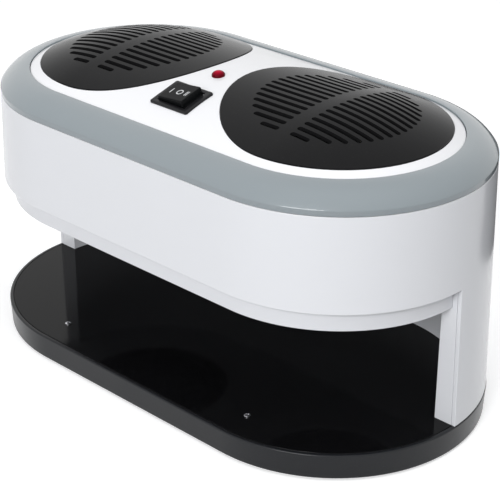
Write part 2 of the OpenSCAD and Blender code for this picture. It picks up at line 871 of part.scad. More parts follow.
module fan_shaft(side) {
    foot = bearing_z + fit;
    color("silver") at_fan(side) translate([0, 0, foot])
        cylinder(r = shaft_r, h = hub_top - shaft_grip - foot);
}
module fan_shaft_left() fan_shaft(LEFT);
module fan_shaft_right() fan_shaft(RIGHT);

module fan_magnet(side) {
    color("darkslategray") at_fan(side) translate([0, 0, hub_z + 1]) difference() {
        cylinder(r = hub_r - hub_wall, h = hub_top - hub_wall - hub_z - 2);
        translate([0, 0, -cut]) cylinder(r = hub_r - hub_wall - magnet_t, h = fan_t);
    }
}
module fan_magnet_left() fan_magnet(LEFT);
module fan_magnet_right() fan_magnet(RIGHT);

module fan_rotor(side) {
    tip_r = fan_bore_r - 1.2;
    pitch = 38;
    blade_t = 1.6;
    chord = 40;
    color(GLOSS_BLACK) at_fan(side) difference() {
        union() {
            difference() {
                translate([0, 0, hub_z]) cylinder(r = hub_r, h = hub_top - hub_z);
                translate([0, 0, hub_z - cut])
                    cylinder(r = hub_r - hub_wall, h = hub_top - hub_z - hub_wall + cut);
            }
            translate([0, 0, tube_top + 2 * fit]) cylinder(r = shaft_r + 2, h = hub_top - tube_top - 1);
            intersection() {
                translate([0, 0, hub_z]) difference() {
                    cylinder(r = tip_r, h = hub_top - hub_z);
                    translate([0, 0, -cut]) cylinder(r = hub_r - 1, h = fan_t);
                }
                for (i = [0:blades - 1]) rotate([0, 0, i * 360 / blades])
                    translate([hub_r - 1, 0, (hub_z + hub_top) / 2]) rotate([pitch, 0, 0])
                        translate([0, -chord / 2, -blade_t / 2]) cube([tip_r - hub_r + 1, chord, blade_t]);
            }
        }
        cylinder(r = shaft_r, h = hub_top - shaft_grip);
    }
}
module fan_rotor_left() fan_rotor(LEFT);
module fan_rotor_right() fan_rotor(RIGHT);

// ---------------------------------------------------------------- switch and lamp

module switch_body() {
    color(BLACK) on_switch() difference() {
        union() {
            rounded_block(bezel_l, bezel_w, -bezel_low, bezel_high, bezel_corner);
            rounded_block(housing_l, housing_w, -housing_depth, 0, housing_corner);
        }
        rounded_block(opening_l, opening_w, -well_depth, crown_rise, opening_corner);
        translate([0, 0, rocker_pivot]) rotate([90, 0, 0])
            cylinder(r = rocker_pin_r + running, h = far, center = true);
    }
}

module switch_rocker() {
    pin_l = rocker_w + 2 * fit + (housing_w - opening_w) * 0.8;
    color([0.22, 0.22, 0.23]) on_switch() translate([0, 0, rocker_pivot]) rotate([0, -rocker_tilt, 0]) {
        rounded_block(rocker_l, rocker_w, -rocker_under, rocker_over, rocker_corner);
        rotate([90, 0, 0]) cylinder(r = rocker_pin_r, h = pin_l, center = true);
    }
}

module switch_contact() {
    color("gold") on_switch() translate([0, 0, -well_depth])
        rounded_block(opening_l - 2, contact_w, 0, contact_t, housing_corner);
}

module switch_terminals() {
    color("gold") on_switch() for (i = [-1:1])
        translate([i * blade_pitch - blade_t / 2, -blade_w / 2, -housing_depth - blade_l])
            cube([blade_t, blade_w, blade_l]);
}

module indicator_lens() {
    dome_r = (lamp_r * lamp_r + lamp_dome_h * lamp_dome_h) / (2 * lamp_dome_h);
    color([0.65, 0.02, 0.08]) on_lamp() {
        intersection() {
            translate([0, 0, lamp_dome_h - dome_r]) sphere(r = dome_r);
            cylinder(r = lamp_r, h = lamp_dome_h + cut);
        }
        translate([0, 0, -lamp_flange_t]) cylinder(r = lamp_r, h = lamp_flange_t);
        translate([0, 0, -lamp_stem_l]) cylinder(r = lamp_stem_r, h = lamp_stem_l);
    }
}

module indicator_clip() {
    color("silver") on_lamp() translate([0, 0, -cover_t - fit - clip_t]) difference() {
        cylinder(r = lamp_r + 2, h = clip_t);
        translate([0, 0, -cut]) cylinder(r = lamp_stem_r + running, h = clip_t + 2 * cut);
    }
}

// ---------------------------------------------------------------- board and wiring

module control_board() {
    color("darkgreen") difference() {
        rounded_block(board.x, board.y, board_z, board_top, 1);
        at_board_screws() cylinder(r = screw_hole_r, h = far);
    }
}

// Transformer, relay and two capacitors.
module board_parts() {
    transformer = [9, 12, 11];
    relay = [7, 7, 9];
    gap = 1.5;
    tall = [3, 12];
    small = [2, 7];
    row_y = fan_plug_y + side_plug.y / 2 + gap;
    color("dimgray") translate([0, 0, board_top]) {
        translate([-transformer.x, row_y, 0]) cube(transformer);
        translate([gap, row_y, 0]) cube(relay);
        translate([0, heater_lead_y, 0]) cylinder(r = tall[0], h = tall[1]);
        translate([gap + small[0], row_y + relay.y + gap + small[0], 0]) cylinder(r = small[0], h = small[1]);
    }
}

// Block centred at x and y that stands on the board.
module plug(size, x, y) {
    translate([x - size.x / 2, y - size.y / 2, board_top]) cube([size.x, size.y, plug_h]);
}

module board_plugs() {
    color("ivory") {
        plug(switch_plug, 0, switch_plug_y);
        plug(lamp_plug, 0, fan_plug_y);
        plug(supply_plug, 0, supply_plug_y);
        for (s = SIDES, y = [fan_plug_y, heater_lead_y]) plug(side_plug, s * side_plug_x, y);
    }
}

module terminal_block() {
    color("ivory") difference() {
        translate([-block.x / 2, block_y - block.y / 2, floor_z]) cube(block);
        for (s = SIDES) translate([s * clamp_x, block_y, floor_z + block.z - clamp_sink])
            cylinder(r = clamp_r + pilot, h = clamp_sink + cut);
    }
}

module terminal_clamps() {
    slot = [4, 0.8, 1];
    z = floor_z + block.z - clamp_sink;
    color("gold") for (s = SIDES) translate([s * clamp_x, block_y, z]) difference() {
        cylinder(r = clamp_r, h = clamp_h);
        translate([-slot.x / 2, -slot.y / 2, clamp_h - slot.z]) cube([slot.x, slot.y, 2 * slot.z]);
    }
}

module cord_gland() {
    color(BLACK) translate([0, gland_out_y, gland_z]) rotate([90, 0, 0]) difference() {
        union() {
            translate([0, 0, -gland_flange_t]) cylinder(r = gland_flange_r, h = gland_flange_t);
            cylinder(r = gland_r, h = gland_out_y - nut_y + nut_t + gland_tail);
        }
        translate([0, 0, -gland_out_y]) cylinder(r = gland_bore_r, h = 2 * gland_out_y);
    }
}

module gland_nut() {
    color("gray") translate([0, nut_y, gland_z]) rotate([90, 0, 0]) difference() {
        cylinder(r = nut_r, h = nut_t, $fn = 6);
        translate([0, 0, -cut]) cylinder(r = gland_r + running, h = nut_t + 2 * cut);
    }
}

// Each lead runs from its blade through the deck's window to its plug.
module switch_leads() {
    reach = housing_depth + blade_l + wire_gap;
    end_y = -switch_y + reach * sin(switch_slope);
    end_z = crown_z(switch_y) - reach * cos(switch_slope);
    color("red") for (i = [-1:1])
        wire([[i * blade_pitch, end_y, end_z], [i * switch_plug.x / 3, switch_plug_y, deck_z - 6],
            [i * switch_plug.x / 3, switch_plug_y, plug_top_z]]);
}

module lamp_leads() {
    reach = lamp_stem_l + wire_gap;
    end_y = -lamp_y + reach * sin(lamp_slope);
    end_z = crown_z(lamp_y) - reach * cos(lamp_slope);
    color("black") for (s = SIDES)
        wire([[s * lamp_spread, end_y, end_z], [s * lamp_spread, fan_plug_y, deck_z - 6],
            [s * lamp_spread, fan_plug_y, plug_top_z]], lamp_wire_r);
}

module fan_leads() {
    top = fan_z + 6;
    bend = cutout_z - cutout_r;
    color("blue") for (s = SIDES, y = [fan_plug_y - lead_spread, fan_plug_y + lead_spread])
        wire([[s * (half - fan_size / 2), y, top], [s * fan_lead_x, y, top], [s * fan_lead_x, y, bend],
            [s * side_plug_x, y, bend - plug_h / 2], [s * side_plug_x, y, plug_top_z]]);
}

module heater_leads() {
    z = cutout_z - 3;
    color("orange") for (s = SIDES, dy = [-lead_spread, lead_spread])
        wire([[s * (half - pad_x), heater_lead_y + dy, z], [s * side_plug_x, heater_lead_y + dy, z],
            [s * side_plug_x, heater_lead_y + dy, plug_top_z]]);
}

// The supply leads pass on either side of the deck screw's boss.
module supply_leads() {
    z = board_top + plug_h / 2;
    in_y = supply_plug_y + supply_plug.y / 2;
    color("brown") for (s = SIDES)
        wire([[s * clamp_x, block_y - block.y / 2, z], [s * clamp_x, in_y + 2 * plug_h, z],
            [s * supply_plug.x / 3, in_y + plug_h, z], [s * supply_plug.x / 3, in_y, z]]);
}

// ---------------------------------------------------------------- screws

module housing_screws() {
    color("silver") at_columns() translate([0, 0, lip_z + counterbore_h])
        screw(long_screw_d, column_top_z + column_pilot_h - 1 - lip_z - counterbore_h,
            long_screw_d * 0.95, long_screw_d * 0.6);
}

module cover_screws() {
    color("silver") at_cover_screws() translate([0, 0, seat_z - ring_t])
        screw(screw_d, ring_t + cover_pilot_h - 0.2, small_head_r, screw_head_h);
}

module deck_screws() {
    color("silver") at_deck_screws() translate([0, 0, fan_z])
        screw_down(screw_d, deck_t + deck_pilot_h - 3, screw_head_r, screw_head_h);
}

module fan_screws() {
    color("silver") for (side = SIDES) at_fan_holes(side) translate([0, 0, fan_top_z])
        screw_down(screw_d, fan_t + deck_t + deck_boss_h - 2, screw_head_r, screw_head_h);
}

module board_screws() {
    color("silver") at_board_screws() translate([0, 0, board_top])
        screw_down(screw_d, board.z + board_pilot_h - 1, small_head_r, screw_head_h);
}

base_tray();
base_panel();
rubber_feet();
base_screws();
panel_screws();
outer_shell();
rear_liner();
roof_pan();
top_ring();
crown_cover();
intake_grille_left();
intake_grille_right();
outlet_grille_left();
outlet_grille_right();
air_duct_left();
air_duct_right();
heater_frame_left();
heater_frame_right();
heater_element_left();
heater_element_right();
thermal_cutout_left();
thermal_cutout_right();
fan_deck();
fan_frame_left();
fan_frame_right();
fan_stator_left();
fan_stator_right();
fan_bearings_left();
fan_bearings_right();
fan_shaft_left();
fan_shaft_right();
fan_magnet_left();
fan_magnet_right();
fan_rotor_left();
fan_rotor_right();
switch_body();
switch_rocker();
switch_contact();
switch_terminals();
indicator_lens();
indicator_clip();
control_board();
board_parts();
board_plugs();
terminal_block();
terminal_clamps();
cord_gland();
gland_nut();
switch_leads();
lamp_leads();
fan_leads();
heater_leads();
supply_leads();
housing_screws();
cover_screws();
deck_screws();
fan_screws();
board_screws();
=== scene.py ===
import json
import math

import bpy
import numpy as np
from mathutils import Matrix, Vector


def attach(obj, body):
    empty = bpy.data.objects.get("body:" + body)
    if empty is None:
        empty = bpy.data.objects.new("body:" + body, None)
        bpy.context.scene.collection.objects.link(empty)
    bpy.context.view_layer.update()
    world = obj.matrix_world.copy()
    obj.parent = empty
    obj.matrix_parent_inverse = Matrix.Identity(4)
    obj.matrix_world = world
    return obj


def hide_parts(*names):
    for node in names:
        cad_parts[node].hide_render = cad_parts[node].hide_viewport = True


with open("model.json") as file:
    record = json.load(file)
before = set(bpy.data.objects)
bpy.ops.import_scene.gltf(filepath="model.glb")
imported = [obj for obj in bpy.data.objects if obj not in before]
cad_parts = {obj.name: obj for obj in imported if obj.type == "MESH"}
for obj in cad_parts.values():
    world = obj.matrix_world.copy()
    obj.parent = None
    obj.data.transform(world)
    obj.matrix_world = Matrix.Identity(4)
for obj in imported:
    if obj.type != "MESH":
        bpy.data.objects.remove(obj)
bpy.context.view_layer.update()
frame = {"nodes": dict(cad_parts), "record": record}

# ------------------------------------------------------------------ camera
# Stands in front and to the right, looking down at the housing, on a long lens.
azimuth, elevation, roll = math.radians(43.26), math.radians(26.36), math.radians(0.27)
forward = Vector((-math.sin(azimuth) * math.cos(elevation), math.cos(azimuth) * math.cos(elevation),
                  -math.sin(elevation)))
level = Vector((math.cos(azimuth), math.sin(azimuth), 0))
down = forward.cross(level)
across = math.cos(roll) * level - math.sin(roll) * down
upward = -(math.sin(roll) * level + math.cos(roll) * down)
camera_data = bpy.data.cameras.new("camera")
camera_data.sensor_width = 36
camera_data.lens = 110.9
camera_data.clip_end = 50
camera = bpy.data.objects.new("camera", camera_data)
camera.matrix_world = Matrix((across, upward, -forward)).transposed().to_4x4()
camera.location = (0.61215, -0.63818, 0.51099)
bpy.context.scene.collection.objects.link(camera)
bpy.context.scene.camera = camera
bpy.context.scene.view_settings.view_transform = "Standard"

# ------------------------------------------------------------------ studio
# A white paper floor, a lamp in front, a soft one overhead, a weak one to the left and a small one whose
# mirror image runs along edges. A dark sheet behind the object shows only in reflections.


def add_node(tree, kind, settings=None, **inputs):
    """Adds one shader node, with its settings and the values of its inputs by name."""
    made = tree.nodes.new(kind)
    for key, value in (settings or {}).items():
        setattr(made, key, value)
    for key, value in inputs.items():
        made.inputs[key.replace("_", " ")].default_value = value
    return made


def seen_directly(tree):
    """1 for camera, glossy and transmission rays, 0 for the rays that carry soft light."""
    path = add_node(tree, "ShaderNodeLightPath")
    either = add_node(tree, "ShaderNodeMath", {"operation": "MAXIMUM"})
    both = add_node(tree, "ShaderNodeMath", {"operation": "MAXIMUM"})
    tree.links.new(path.outputs["Is Camera Ray"], either.inputs[0])
    tree.links.new(path.outputs["Is Glossy Ray"], either.inputs[1])
    tree.links.new(either.outputs[0], both.inputs[0])
    tree.links.new(path.outputs["Is Transmission Ray"], both.inputs[1])
    return both.outputs[0]


world = bpy.data.worlds.new("studio")
world.use_nodes = True
bpy.context.scene.world = world
world_tree = world.node_tree
world_tree.nodes.clear()
world_colour = add_node(world_tree, "ShaderNodeMix", {"data_type": "RGBA"})
world_colour.inputs["A"].default_value = (0.38, 0.385, 0.395, 1)
world_colour.inputs["B"].default_value = (1, 1, 1, 1)
world_light = add_node(world_tree, "ShaderNodeBackground", Strength=1.0)
world_out = add_node(world_tree, "ShaderNodeOutputWorld")
world_tree.links.new(seen_directly(world_tree), world_colour.inputs["Factor"])
world_tree.links.new(world_colour.outputs["Result"], world_light.inputs["Color"])
world_tree.links.new(world_light.outputs[0], world_out.inputs[0])

floor_mesh = bpy.data.meshes.new("paper_floor")
floor_mesh.from_pydata([(-4, -4, 0), (4, -4, 0), (4, 4, 0), (-4, 4, 0)], [], [(0, 1, 2, 3)])
floor = bpy.data.objects.new("paper_floor", floor_mesh)
bpy.context.scene.collection.objects.link(floor)
floor_material = bpy.data.materials.new("paper_floor")
floor_material.use_nodes = True
tree = floor_material.node_tree
paper = tree.nodes["Principled BSDF"]
paper.inputs["Roughness"].default_value = 0.9
paper.inputs["Specular IOR Level"].default_value = 0.1
paper_place = add_node(tree, "ShaderNodeTexCoord")
paper_noise = add_node(tree, "ShaderNodeTexNoise", Scale=900.0, Detail=4.0)
paper_bump = add_node(tree, "ShaderNodeBump", Strength=0.05, Distance=0.0002)
paper_colour = add_node(tree, "ShaderNodeMix", {"data_type": "RGBA"})
paper_colour.inputs["A"].default_value = (0.38, 0.38, 0.385, 1)
paper_colour.inputs["B"].default_value = (0.80, 0.80, 0.80, 1)
paper_glow = add_node(tree, "ShaderNodeMix", {"data_type": "RGBA"})
paper_glow.inputs["A"].default_value = (0, 0, 0, 1)
paper_glow.inputs["B"].default_value = (0.45, 0.45, 0.45, 1)
direct = seen_directly(tree)
tree.links.new(paper_place.outputs["Object"], paper_noise.inputs["Vector"])
tree.links.new(paper_noise.outputs["Fac"], paper_bump.inputs["Height"])
tree.links.new(paper_bump.outputs["Normal"], paper.inputs["Normal"])
tree.links.new(direct, paper_colour.inputs["Factor"])
tree.links.new(direct, paper_glow.inputs["Factor"])
tree.links.new(paper_colour.outputs["Result"], paper.inputs["Base Color"])
tree.links.new(paper_glow.outputs["Result"], paper.inputs["Emission Color"])
paper.inputs["Emission Strength"].default_value = 1.0
floor_mesh.materials.append(floor_material)

lamps = [
    ("front_lamp", (0.62, -2.03, 1.1), 0.9, 23.0, (0.98, 0.985, 1.0), True),
    ("top_lamp", (0.5, -0.1, 2.15), 1.8, 19.5, (1.0, 1.0, 1.0), False),
    ("left_lamp", (-2.2, -0.7, 0.9), 1.0, 1.5, (1.0, 0.99, 0.96), False),
    ("edge_lamp", (0.95, -1.72, 1.2), 0.4, 7.0, (1.0, 1.0, 1.0), True),
]
for name, place, size, watts, colour, mirrored in lamps:
    lamp = bpy.data.lights.new(name, "AREA")
    lamp.size = size
    lamp.energy = watts
    lamp.color = colour
    lamp_object = bpy.data.objects.new(name, lamp)
    lamp_object.location = place
    lamp_object.visible_glossy = mirrored
    aim = Vector((0, 0, 0.1)) - Vector(place)
    lamp_object.rotation_euler = aim.to_track_quat("-Z", "Y").to_euler()
    bpy.context.scene.collection.objects.link(lamp_object)

SHEET_LEFT, SHEET_RIGHT, SHEET_NEAR, SHEET_FAR, SHEET_Z = -0.6, 0.24, 0.26, 1.6, 0.002
sheet_mesh = bpy.data.meshes.new("dark_sheet")
sheet_plan = ((SHEET_LEFT, SHEET_NEAR), (SHEET_RIGHT, SHEET_NEAR), (SHEET_RIGHT, SHEET_FAR), (SHEET_LEFT, SHEET_FAR))
sheet_mesh.from_pydata([(x, y, SHEET_Z) for x, y in sheet_plan], [], [(0, 1, 2, 3)])
sheet = bpy.data.objects.new("dark_sheet", sheet_mesh)
bpy.context.scene.collection.objects.link(sheet)
sheet_material = bpy.data.materials.new("dark_sheet")
sheet_material.use_nodes = True
cloth = sheet_material.node_tree.nodes["Principled BSDF"]
cloth.inputs["Base Color"].default_value = (0.02, 0.02, 0.02, 1)
cloth.inputs["Roughness"].default_value = 1.0
cloth.inputs["Specular IOR Level"].default_value = 0.0
sheet_mesh.materials.append(sheet_material)
sheet.visible_camera = sheet.visible_diffuse = sheet.visible_transmission = sheet.visible_shadow = False

# ------------------------------------------------------------------ moulded base
# Black ABS tray with a small radius round its rim and underside. It carries everything,
# and its rim shows as a thin band round the glossy top.
SPAN_HALF = 80.0
ARC_STEPS, STRAIGHT_STEPS = 96, 20
BASE_TOP, BASE_R, PANEL_R = 17.8, 97.4, 95.0


def pill_path():
    """Stations round a pill, anticlockwise from (80, -r): x = cx + nx r, y = ny r,
    with n = (cos a, sin a) on each end and (0, +-1) on each straight side."""
    turn = np.linspace(-math.pi / 2, math.pi / 2, ARC_STEPS + 1)[:-1]
    along = np.linspace(1, -1, STRAIGHT_STEPS + 1)[:-1]
    right = np.stack([np.full_like(turn, SPAN_HALF), np.cos(turn), np.sin(turn)], 1)
    rear = np.stack([SPAN_HALF * along, np.zeros_like(along), np.ones_like(along)], 1)
    return np.concatenate([right, rear, right * [-1, -1, -1], rear * [-1, 1, -1]])


def rounded(corners, steps=5):
    """Section line through (r, z, radius) corners, of which the first and the last are sharp. Each other
    corner is an arc that touches both sides, with a point held close to either end of it so that the
    flats stay flat when shaded."""
    line = []
    for k, (r, z, radius) in enumerate(corners):
        if radius == 0:
            line.append(np.array([[r, z]], float))
            continue
        corner = np.array([r, z], float)
        before = np.array(corners[k - 1][:2]) - corner
        after = np.array(corners[k + 1][:2]) - corner
        before, after = before / np.linalg.norm(before), after / np.linalg.norm(after)
        bend = math.pi - math.acos(np.clip(before @ after, -1, 1))
        reach = radius * math.tan(bend / 2)
        middle = (before + after) / np.linalg.norm(before + after)
        centre = corner + middle * radius / math.cos(bend / 2)
        start, end = corner + before * reach - centre, corner + after * reach - centre
        t = np.linspace(0, 1, steps + 1)[:, None]
        arc = centre + (np.sin((1 - t) * bend) * start + np.sin(t * bend) * end) / math.sin(bend)
        hold = 0.4 * radius
        line.append(np.concatenate([arc[:1] + before * hold, arc, arc[-1:] + after * hold]))
    return np.concatenate(line)


def merged(points, faces):
    """Points that coincide become one, and faces drop repeated corners."""
    keys = np.round(points * 1e4).astype(np.int64)
    _, first, label = np.unique(keys, axis=0, return_index=True, return_inverse=True)
    label = label.reshape(-1)
    kept = []
    for face in faces:
        corners = [int(label[i]) for i in face]
        corners = [c for j, c in enumerate(corners) if c != corners[j - 1]]
        if len(set(corners)) == len(corners) and len(corners) > 2:
            kept.append(corners)
    return points[first], kept


def outward(points, faces):
    """Turns all faces over when they enclose a negative volume: sum of p0 . (p1 x p2) over the triangles."""
    triangles = np.array([(f[0], f[j], f[j + 1]) for f in faces for j in range(1, len(f) - 1)])
    a, b, c = (points[triangles[:, j]] for j in range(3))
    if np.einsum("ij,ij->i", a, np.cross(b, c)).sum() < 0:
        return [face[::-1] for face in faces]
    return faces


def piece(name, shells, material, body="housing", bevel=0.0, uv=None):
    """One object from closed shells of (points in mm, faces), smooth shaded, riding on a CAD body."""
    all_points, all_faces, count = [], [], 0
    for points, faces in shells:
        points, faces = merged(np.asarray(points, float), faces)
        faces = outward(points, faces)
        all_points.append(points)
        all_faces += [[i + count for i in face] for face in faces]
        count += len(points)
    mesh = bpy.data.meshes.new(name)
    place = np.concatenate(all_points)
    mesh.from_pydata((place * 0.001).tolist(), [], all_faces)
    mesh.polygons.foreach_set("use_smooth", np.ones(len(mesh.polygons), bool))
    mesh.set_sharp_from_angle(angle=math.radians(38))
    if uv is not None:
        layer = mesh.uv_layers.new(name="UVMap")
        corner = np.zeros(len(mesh.loops), np.int32)
        mesh.loops.foreach_get("vertex_index", corner)
        layer.data.foreach_set("uv", uv(place)[corner].astype(np.float32).ravel())
    mesh.materials.append(material)
    made = bpy.data.objects.new(name, mesh)
    bpy.context.scene.collection.objects.link(made)
    if bevel:
        edge = made.modifiers.new("rounded_edges", "BEVEL")
        edge.width = bevel * 0.001
        edge.segments = 3
        edge.limit_method = "ANGLE"
        edge.angle_limit = math.radians(40)
        edge.harden_normals = True
    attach(made, body)
    return made


def grid_faces(rows, columns, wrap_rows=False, wrap_columns=False):
    """Quads of a rows x columns grid of points, joined at the ends where it wraps."""
    i = np.arange(rows if wrap_rows else rows - 1)[:, None]
    j = np.arange(columns if wrap_columns else columns - 1)[None, :]
    i2, j2 = (i + 1) % rows, (j + 1) % columns
    quads = np.stack([i * columns + j, i2 * columns + j, i2 * columns + j2, i * columns + j2], -1)
    return quads.reshape(-1, 4).tolist()


def round_pill(r, z):
    """A section (r, z) carried round the pill: P(s, t) = (cx(s) + nx(s) r(t), ny(s) r(t), z(t))."""
    path = pill_path()
    height = np.broadcast_to(z, (len(path), len(z)))
    return np.stack([path[:, :1] + path[:, 1:2] * r, path[:, 2:] * r, height], -1)


def pill_sweep(line, closed=False):
    """Closed shell from a section line. One that isn't closed starts and ends on the pill's middle line."""
    sheet = round_pill(line[:, 0], line[:, 1])
    return sheet.reshape(-1, 3), grid_faces(*sheet.shape[:2], True, closed)


def new_material(name, **constants):
    """Material with a Principled shader whose constants are set by socket name."""
    material = bpy.data.materials.new(name)
    material.use_nodes = True
    shader = material.node_tree.nodes["Principled BSDF"]
    for key, value in constants.items():
        shader.inputs[key.replace("_", " ")].default_value = value
    return material, material.node_tree, shader


def new_group(name, inputs, outputs):
    """Node group with float or colour sockets and its two end nodes."""
    group = bpy.data.node_groups.new(name, "ShaderNodeTree")
    for label, value in inputs:
        kind = "NodeSocketColor" if isinstance(value, tuple) else "NodeSocketFloat"
        group.interface.new_socket(label, in_out="INPUT", socket_type=kind).default_value = value
    for label, kind in outputs:
        group.interface.new_socket(label, in_out="OUTPUT", socket_type=kind)
    return group, group.nodes.new("NodeGroupInput"), group.nodes.new("NodeGroupOutput")


# Fine grain and flow of a moulded surface: a roughness that wanders and a faint orange-peel bump.
moulded, given, result = new_group(
    "moulded_surface",
    [("Low", 0.2), ("High", 0.3), ("Peel", 0.1), ("Grain", 0.1), ("Peel Scale", 180.0), ("Grain Scale", 2600.0)],
    [("Roughness", "NodeSocketFloat"), ("Normal", "NodeSocketVector")],
)
place = add_node(moulded, "ShaderNodeTexCoord")
cloud = add_node(moulded, "ShaderNodeTexNoise", Scale=34.0, Detail=5.0, Roughness=0.6)
spread = add_node(moulded, "ShaderNodeMapRange", From_Min=0.32, From_Max=0.68)
peel = add_node(moulded, "ShaderNodeTexNoise", Detail=1.5)
grain = add_node(moulded, "ShaderNodeTexNoise", Detail=3.0)
peel_bump = add_node(moulded, "ShaderNodeBump", Distance=0.00012)
grain_bump = add_node(moulded, "ShaderNodeBump", Distance=0.00003)
for source, target in (
    (place.outputs["Object"], cloud.inputs["Vector"]), (place.outputs["Object"], peel.inputs["Vector"]),
    (place.outputs["Object"], grain.inputs["Vector"]), (cloud.outputs["Fac"], spread.inputs["Value"]),
    (given.outputs["Low"], spread.inputs["To Min"]), (given.outputs["High"], spread.inputs["To Max"]),
    (given.outputs["Peel Scale"], peel.inputs["Scale"]), (given.outputs["Grain Scale"], grain.inputs["Scale"]),
    (given.outputs["Peel"], peel_bump.inputs["Strength"]), (given.outputs["Grain"], grain_bump.inputs["Strength"]),
    (peel.outputs["Fac"], peel_bump.inputs["Height"]), (grain.outputs["Fac"], grain_bump.inputs["Height"]),
    (peel_bump.outputs["Normal"], grain_bump.inputs["Normal"]),
    (spread.outputs["Result"], result.inputs["Roughness"]), (grain_bump.outputs["Normal"], result.inputs["Normal"]),
):
    moulded.links.new(source, target)

# Slow drift of tone across a moulding, and fine specks of dust in it.
tone, given, result = new_group(
    "tone_drift",
    [("Colour", (0.5, 0.5, 0.5, 1.0)), ("Drift", 0.03), ("Dust", 0.0), ("Dust Colour", (0.6, 0.6, 0.58, 1.0))],
    [("Colour", "NodeSocketColor")],
)
place = add_node(tone, "ShaderNodeTexCoord")
drift = add_node(tone, "ShaderNodeTexNoise", Scale=17.0, Detail=3.0)
centred = add_node(tone, "ShaderNodeMath", {"operation": "SUBTRACT"})
centred.inputs[1].default_value = 0.5
scaled = add_node(tone, "ShaderNodeMath", {"operation": "MULTIPLY_ADD"})
scaled.inputs[2].default_value = 1.0
tinted = add_node(tone, "ShaderNodeVectorMath", {"operation": "SCALE"})
specks = add_node(tone, "ShaderNodeTexNoise", Scale=1500.0, Detail=2.0)
speck_mask = add_node(tone, "ShaderNodeMapRange", From_Min=0.66, From_Max=0.74)
speck_share = add_node(tone, "ShaderNodeMath", {"operation": "MULTIPLY"})
dusted = add_node(tone, "ShaderNodeMix", {"data_type": "RGBA"})
for source, target in (
    (place.outputs["Object"], drift.inputs["Vector"]), (place.outputs["Object"], specks.inputs["Vector"]),
    (drift.outputs["Fac"], centred.inputs[0]), (centred.outputs[0], scaled.inputs[0]),
    (given.outputs["Drift"], scaled.inputs[1]), (given.outputs["Colour"], tinted.inputs[0]),
    (scaled.outputs[0], tinted.inputs["Scale"]), (specks.outputs["Fac"], speck_mask.inputs["Value"]),
    (speck_mask.outputs["Result"], speck_share.inputs[0]), (given.outputs["Dust"], speck_share.inputs[1]),
    (speck_share.outputs[0], dusted.inputs["Factor"]), (tinted.outputs[0], dusted.inputs["A"]),
    (given.outputs["Dust Colour"], dusted.inputs["B"]), (dusted.outputs["Result"], result.inputs["Colour"]),
):
    tone.links.new(source, target)


def add_surface(tree, shader, low, high, peel, grain):
    """Lays the moulded surface's roughness and normal on a shader."""
    surface = add_node(tree, "ShaderNodeGroup", {"node_tree": moulded}, Low=low, High=high, Peel=peel, Grain=grain)
    tree.links.new(surface.outputs["Roughness"], shader.inputs["Roughness"])
    tree.links.new(surface.outputs["Normal"], shader.inputs["Normal"])


def add_tone(tree, colour, drift, dust):
    """Colour socket of a moulding's drifting tone."""
    shade = add_node(tree, "ShaderNodeGroup", {"node_tree": tone}, Drift=drift, Dust=dust)
    shade.inputs["Colour"].default_value = (*colour, 1)
    return shade.outputs["Colour"]


def moulded_material(name, colour, low, high, peel, grain, drift, dust, **constants):
    """Moulded plastic or rubber: the two groups above feed its colour, roughness and normal."""
    material, tree, shader = new_material(name, **constants)
    add_surface(tree, shader, low, high, peel, grain)
    tree.links.new(add_tone(tree, colour, drift, dust), shader.inputs["Base Color"])
    return material


black_satin = moulded_material("black_satin", (0.010, 0.011, 0.013), 0.30, 0.42, 0.05, 0.25, 0.15, 0.03,
                               Specular_IOR_Level=0.15, Coat_Weight=0.25, Coat_Roughness=0.1)
TRAY_FLOOR_Z = 14.8
tray_line = rounded([(0, 1.5, 0), (96.5, 1.5, 1.0), (BASE_R, BASE_TOP, 0.9), (PANEL_R, BASE_TOP, 0.3),
                     (PANEL_R, TRAY_FLOOR_Z, 0), (0, TRAY_FLOOR_Z, 0)])
base = piece("moulded_base", [pill_sweep(tray_line)], black_satin)
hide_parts("base_tray")

# ------------------------------------------------------------------ glossy top of the base
# Polished black panel, dropped into the tray's rim with a thin gap all round.
gloss_black = moulded_material("gloss_black", (0.004, 0.004, 0.0045), 0.06, 0.10, 0.012, 0.0, 0.2, 0.02,
                               Specular_IOR_Level=0.11)
PANEL_EDGE_R, PANEL_LOW_Z = PANEL_R - 0.3, 14.85
panel_line = rounded([(0, PANEL_LOW_Z, 0), (PANEL_EDGE_R, PANEL_LOW_Z, 0), (PANEL_EDGE_R, BASE_TOP, 0.4),
                      (0, BASE_TOP, 0)])
panel = piece("glossy_base_top", [pill_sweep(panel_line)], gloss_black)
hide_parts("base_panel")

# ------------------------------------------------------------------ rubber feet
# Six soft pads pressed into pockets under the tray.
rubber = moulded_material("foot_rubber", (0.030, 0.030, 0.031), 0.6, 0.8, 0.2, 0.8, 0.2, 0.1)


def lathe(line, centre=(0, 0, 0), steps=48, turned=None):
    """Section (r, z) turned about an upright axis: P(a, t) = c + (r(t) cos a, r(t) sin a, z(t)).
    `turned` is a rotation matrix for an axis that isn't upright."""
    turn = np.linspace(0, 2 * math.pi, steps + 1)[:-1, None]
    r, z = line[:, 0], np.broadcast_to(line[:, 1], (steps, len(line)))
    points = np.stack([r * np.cos(turn), r * np.sin(turn), z], -1).reshape(-1, 3)
    if turned is not None:
        points = points @ np.array(turned).T
    return points + np.array(centre, float), grid_faces(steps, len(line), True, False)


foot_line = rounded([(0, 0, 0), (6.2, 0, 0.5), (6.9, 2.45, 0), (0, 2.45, 0)])
foot_places = [(sx * (SPAN_HALF + BASE_R * 0.3), sy * BASE_R * 0.68) for sx in (-1, 1) for sy in (-1, 1)]
foot_places += [(0, -(BASE_R - 16)), (0, BASE_R - 16)]
feet = piece("rubber_foot_pads", [lathe(foot_line, (x, y, 0)) for x, y in foot_places], rubber)
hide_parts("rubber_feet")

